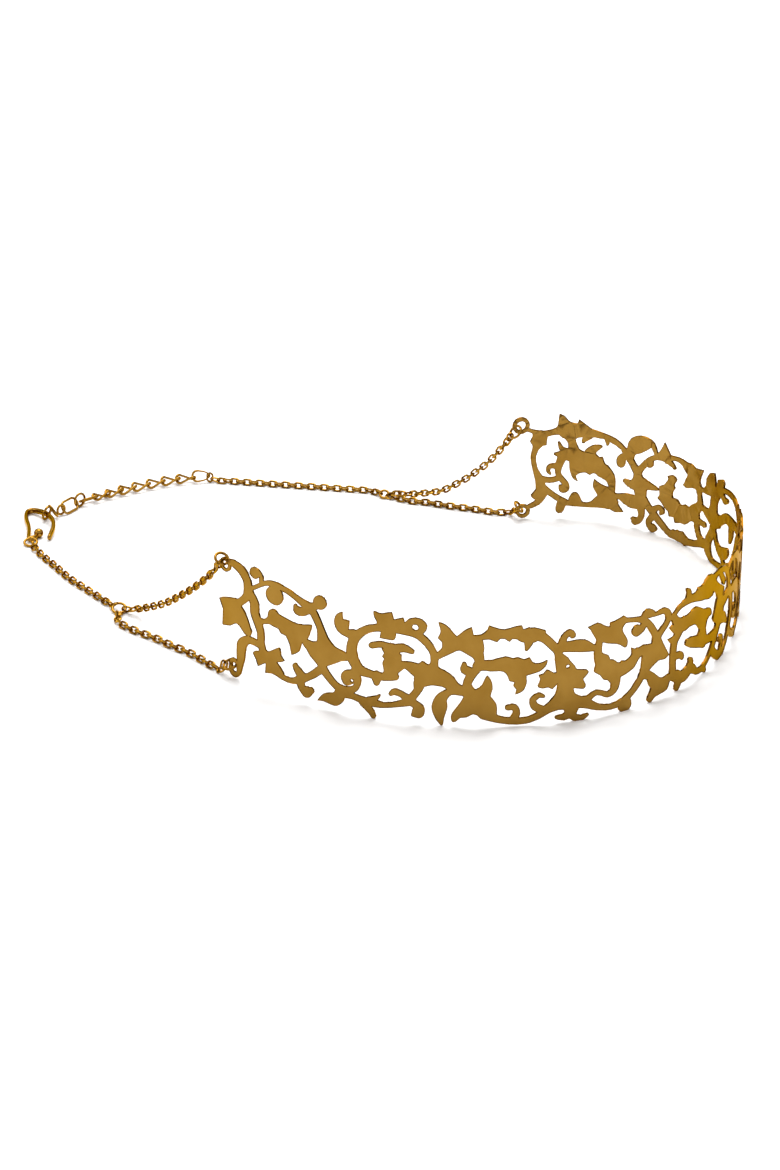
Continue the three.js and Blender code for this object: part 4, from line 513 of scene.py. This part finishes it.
def along_run(distance, height):
    """The point that far along the adjusting run, at a height."""
    points = [Vector((*p, height)) for p in ADJUST_ROUTE]
    for a, b in zip(points, points[1:]):
        span = (b - a).length
        if distance <= span or b is points[-1]:
            return a + (b - a) * (distance / span)
        distance -= span


def turned_along(direction, roll):
    """The turn that lays X along a direction, rolled about it from lying flat."""
    across = Vector((0, 0, 1)).cross(direction).normalized()
    upright = direction.cross(across)
    return Matrix((direction, across, upright)).transposed() @ Matrix.Rotation(roll, 3, "X")


def clear_table(form):
    """Lifts a link that would sink into the table until it lies on it."""
    low = min(v.co.z for v in form.verts)
    bmesh.ops.translate(form, verts=form.verts, vec=(0, 0, max(0, TABLE_GAP - low)))


# The link that stands between the catch ring and the small ring leans down from one to the
# other: its place, the way that it points, its length and width, and its roll.
CATCH_LINK = ((0.44, 82.7, 2.02), (0.194, -0.519, -0.831), 3.7, 2.2, -30)
CATCH_WIRE = 0.25 * MM
CATCH_STEPS = 32

place, along, length, width, roll = CATCH_LINK
catch_link = wire_loop(length * MM, width * MM, CATCH_WIRE, CATCH_STEPS, RING_SIDES)
turn = turned_along(Vector(along).normalized(), math.radians(roll))
bmesh.ops.rotate(catch_link, verts=catch_link.verts, matrix=turn)
bmesh.ops.translate(catch_link, verts=catch_link.verts, vec=placed(place))
finish_edges(catch_link)
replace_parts(new_piece("catch_link_wire", catch_link, [bright_gold]), "catch_link")

for name, distance, length, width, height, lean, twist, taper in ADJUST_LINKS:
    wire = CURB_WIRE if length == CURB_LENGTH else ADJUST_WIRE
    reach = length / 2 - wire / MM
    start, end = along_run(distance - reach, height), along_run(distance + reach, height)
    link = wire_loop(length * MM, width * MM, wire, RING_STEPS, RING_SIDES)
    for vert in link.verts:
        share = vert.co.x / (length * MM / 2)
        vert.co.y *= 1 - taper * (1 + share) / 2
        wrung = math.radians(twist) * math.sin(share * math.pi / 2)
        vert.co = Matrix.Rotation(wrung, 3, "X") @ vert.co
    turn = turned_along((end - start).normalized(), math.radians(lean))
    bmesh.ops.rotate(link, verts=link.verts, matrix=turn)
    bmesh.ops.translate(link, verts=link.verts, vec=placed((start + end) / 2))
    clear_table(link)
    finish_edges(link)
    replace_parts(new_piece(f"{name}_wire", link, [bright_gold]), name)

# ---------------------------------------------------------------- fine chains
# Six lengths of cable chain: oval links of fine wire, each turned a quarter from the last
# and threaded through its neighbours. The outermost links reach the wire of a ring, or of the
# pear-shaped link, and are turned so that their holes face along it.
CHAIN_WIRE = 0.265 * MM
CHAIN_WIDTH = 1.88 * MM
CHAIN_SETTLE = 0.2 * MM
CHAIN_STEPS = 14
CHAIN_SIDES = 6
END_CLEAR = 1.6 * MM
TURNING_LINKS = 4
ROUTE_PARTS = 12
# How far back from its point the pear-shaped link's direction is taken, in millimetres.
END_LINK_RUN = 2
# Name, the piece at each end, how far the links roll from flat, their pitch, and the route.
FINE_CHAINS = (
    ("left_upper_chain", "left_upper_ring", "left_join_ring", 0, 1.73, ((-59.3, 13.4, 23.4),
        (-57.3, 16.4, 20), (-54.3, 21.1, 15.5), (-51.2, 25.8, 11.6), (-47.8, 30.9, 7.7),
        (-44.3, 36.3, 4.4), (-41.6, 40.6, 2.1), (-40.4, 42.6, 1.2))),
    ("left_lower_chain", "left_lower_ring", "left_join_ring", 45, 1.73, ((-60.5, 12.4, 0.98),
        (-59.5, 14.7, 0.95), (-58, 17.3, 0.95), (-55.4, 22, 0.95), (-53.4, 27.3, 0.95),
        (-51.4, 31.9, 0.95), (-49.5, 37.7, 0.95), (-47.4, 41.9, 0.95), (-44.7, 44, 0.95))),
    ("left_clasp_chain", "hook_ring", "left_join_ring", 45, 1.73, ((-17.8, 78, 0.95),
        (-21.4, 74, 0.95), (-25.2, 69.1, 0.95), (-30, 63.1, 0.95), (-33.8, 57.2, 0.95),
        (-37.6, 51.1, 0.95), (-39.4, 48.2, 0.95))),
    ("right_upper_chain", "right_upper_ring", "right_join_ring", 0, 1.55, ((38.8, -14.9, 19.5),
        (39.3, -10.5, 13.8), (39.8, -6, 9.5), (40.1, -3.3, 7.4), (40.6, 1.5, 4.2),
        (41.1, 6.2, 2.6), (41.7, 10.4, 1.5), (42, 13.5, 1.1))),
    ("right_lower_chain", "right_lower_ring", "right_join_ring", 45, 1.55, ((40.8, -15, 0.98),
        (39.9, -11.6, 0.95), (39.9, -6, 0.95), (39.6, 0.2, 0.95), (39.7, 4.9, 0.95),
        (39.2, 8.4, 0.95), (39.4, 10.8, 0.95), (39.9, 13.5, 0.95))),
    ("right_clasp_chain", "end_link", "right_join_ring", 45, 1.55, ((34.3, 57.2, 0.95),
        (36, 48.7, 0.95), (37.9, 39.2, 0.95), (39.8, 29.7, 0.95), (41.5, 21.4, 0.95),
        (41.3, 18.6, 0.95))),
)


def smooth_route(points, parts):
    """The points of a route with a smooth curve drawn between them."""
    run = [2 * points[0] - points[1], *points, 2 * points[-1] - points[-2]]
    out = []
    for a, b, c, d in zip(run, run[1:], run[2:], run[3:]):
        for k in range(parts):
            t = k / parts
            bend = (2 * a - 5 * b + 4 * c - d) * t * t + (3 * b - a - 3 * c + d) * t ** 3
            out.append(0.5 * (2 * b + (c - a) * t + bend))
    return out + [points[-1]]


# These chains leave almost square to their rings, so the side of the ring that each hangs
# on is given as a direction from the ring's middle.
HANGING_SIDE = {
    "left_upper_ring": Vector((-0.94, 0.09, -0.33)),
    "right_lower_ring": Vector((-0.98, -0.19, 0)),
}


def held_at(holder, towards):
    """Where a chain hangs on a ring, or on the end link's point, and the wire's direction."""
    if holder == "end_link":
        _, distance, length, _, height, lean, _, _ = ADJUST_LINKS[-1]
        point = distance + length / 2
        tip = along_run(point - ADJUST_WIRE / MM, height)
        back = along_run(point - END_LINK_RUN, height)
        turn = turned_along((tip - back).normalized(), math.radians(lean))
        return placed(tip), turn @ Vector((0, 1, 0))
    _, centre, axis, radius = next(r for r in RINGS if r[0] == holder)
    centre, axis = placed(centre), Vector(axis).normalized()
    arm = HANGING_SIDE.get(holder, towards - centre)
    arm = (arm - axis * arm.dot(axis)).normalized()
    return centre + arm * radius * MM, axis.cross(arm)


def quarter(angle):
    """An angle less whole quarter turns, from minus an eighth to an eighth of a turn."""
    return (angle + math.pi / 4) % (math.pi / 2) - math.pi / 4


def facing_roll(direction, wire):
    """The roll at which a link's hole faces along the wire that it hangs on."""
    turn = turned_along(direction, 0)
    return math.atan2(-wire.dot(turn.col[1]), wire.dot(turn.col[2]))


for name, first, last, natural, pitch, points in FINE_CHAINS:
    settle = Vector((0, 0, CHAIN_SETTLE))
    points = [placed(p) - settle for p in points]
    (start, start_wire), (end, end_wire) = held_at(first, points[1]), held_at(last, points[-2])
    points = [p for p in points if min((p - start).length, (p - end).length) > END_CLEAR]
    route = smooth_route([start, *points, end], ROUTE_PARTS)
    spans = [(b - a).length for a, b in zip(route, route[1:])]
    link_length = pitch * MM + 4 * CHAIN_WIRE
    threaded = link_length / 2 - 2 * CHAIN_WIRE - RING_WIRE
    free = sum(spans) - 2 * threaded
    count = round(free / (pitch * MM)) + 1
    places = []
    for number in range(count):
        left = threaded + number * free / (count - 1)
        for a, b, span in zip(route, route[1:], spans):
            if left <= span:
                break
            left -= span
        places.append((a + (b - a) * (left / span), (b - a).normalized()))
    natural = math.radians(natural)
    start_roll = facing_roll(places[0][1], start_wire)
    end_roll = facing_roll(places[-1][1], end_wire)
    lead, trail = quarter(start_roll - natural), quarter(end_roll - natural)
    odd = round((start_roll - lead - natural) / (math.pi / 2)) % 2
    chain = bmesh.new()
    for number, (place, direction) in enumerate(places):
        ease_in = max(0, 1 - number / TURNING_LINKS)
        ease_out = max(0, 1 - (count - 1 - number) / TURNING_LINKS)
        roll = natural + lead * ease_in + trail * ease_out + (number + odd) % 2 * math.pi / 2
        link = wire_loop(link_length, CHAIN_WIDTH, CHAIN_WIRE, CHAIN_STEPS, CHAIN_SIDES)
        bmesh.ops.rotate(link, verts=link.verts, matrix=turned_along(direction, roll))
        bmesh.ops.translate(link, verts=link.verts, vec=place)
        clear_table(link)
        loose = bpy.data.meshes.new("link")
        link.to_mesh(loose)
        link.free()
        chain.from_mesh(loose)
        bpy.data.meshes.remove(loose)
    finish_edges(chain)
    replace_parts(new_piece(f"{name}_links", chain, [bright_gold]), name)

# ---------------------------------------------------------------- hook
# The clasp is a flattened wire bent into a hook that stands on its edge. Its near end turns
# back beside its ring and finishes in a small round button.
HOOK_ROUTE = (
    (-10.9, 80.9, 0.85), (-12.9, 80.7, 0.85), (-13.7, 81.6, 0.84), (-9.7, 83.7, 0.8),
    (-7.1, 85.2, 0.78), (-4.1, 87.3, 0.75), (-1.6, 88.75, 0.75), (0.3, 89.3, 0.78),
    (1.3, 88.5, 0.85), (0.9, 86.8, 1.1), (-0.2, 84.9, 1.5), (-1.5, 83.4, 1.86),
    (-3, 81.6, 1.88), (-4.8, 80, 1.7), (-7.4, 78.7, 1.4), (-10, 78, 1), (-11.9, 77.5, 0.78),
)
HOOK_THICK = 0.95 * MM
HOOK_TALL = 1.4 * MM
HOOK_SQUARENESS = 0.2
HOOK_TIP = 0.6 * MM
HOOK_BLUNT = 0.12
HOOK_PARTS = 6
HOOK_SIDES = 16
BUTTON_PLACE = (-10.7, 80.7, 1.15)
BUTTON_RADIUS = 1.08 * MM
BUTTON_MERIDIANS = 28
BUTTON_PARALLELS = 18

hook = bmesh.new()
route = smooth_route([placed(p) for p in HOOK_ROUTE], HOOK_PARTS)
section = bmesh.ops.create_circle(hook, segments=HOOK_SIDES, radius=1)["verts"]
profile = {}
for vert in section:
    x, y = vert.co.x, vert.co.y
    square = max(abs(x), abs(y)) ** HOOK_SQUARENESS
    profile[vert] = Vector((0, x / square * HOOK_THICK / 2, y / square * HOOK_TALL / 2))
travelled = [0.0]
for a, b in zip(route, route[1:]):
    travelled.append(travelled[-1] + (b - a).length)
front = hook.edges[:]
bmesh.ops.contextual_create(hook, geom=section)
for step, place in enumerate(route):
    if step:
        grown = bmesh.ops.extrude_edge_only(hook, edges=front)["geom"]
        front = [g for g in grown if isinstance(g, bmesh.types.BMEdge)]
        for vert in [g for g in grown if isinstance(g, bmesh.types.BMVert)]:
            beside = [e.other_vert(vert) for e in vert.link_edges]
            profile[vert] = next(profile[v] for v in beside if v in section)
        section = [g for g in grown if isinstance(g, bmesh.types.BMVert)]
    back, on = route[max(step - 1, 0)], route[min(step + 1, len(route) - 1)]
    turn = turned_along((on - back).normalized(), 0)
    from_end = min(travelled[step], travelled[-1] - travelled[step])
    swell = math.sqrt(1 - (1 - min(1, HOOK_BLUNT + from_end / HOOK_TIP)) ** 2)
    for vert in section:
        vert.co = place + turn @ (profile[vert] * swell)
bmesh.ops.contextual_create(hook, geom=section)
bmesh.ops.recalc_face_normals(hook, faces=hook.faces)
button = bmesh.ops.create_uvsphere(
    hook, u_segments=BUTTON_MERIDIANS, v_segments=BUTTON_PARALLELS, radius=BUTTON_RADIUS
)
bmesh.ops.translate(hook, verts=button["verts"], vec=placed(BUTTON_PLACE))
finish_edges(hook)
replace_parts(new_piece("hook_wire", hook, [bright_gold]), "hook")
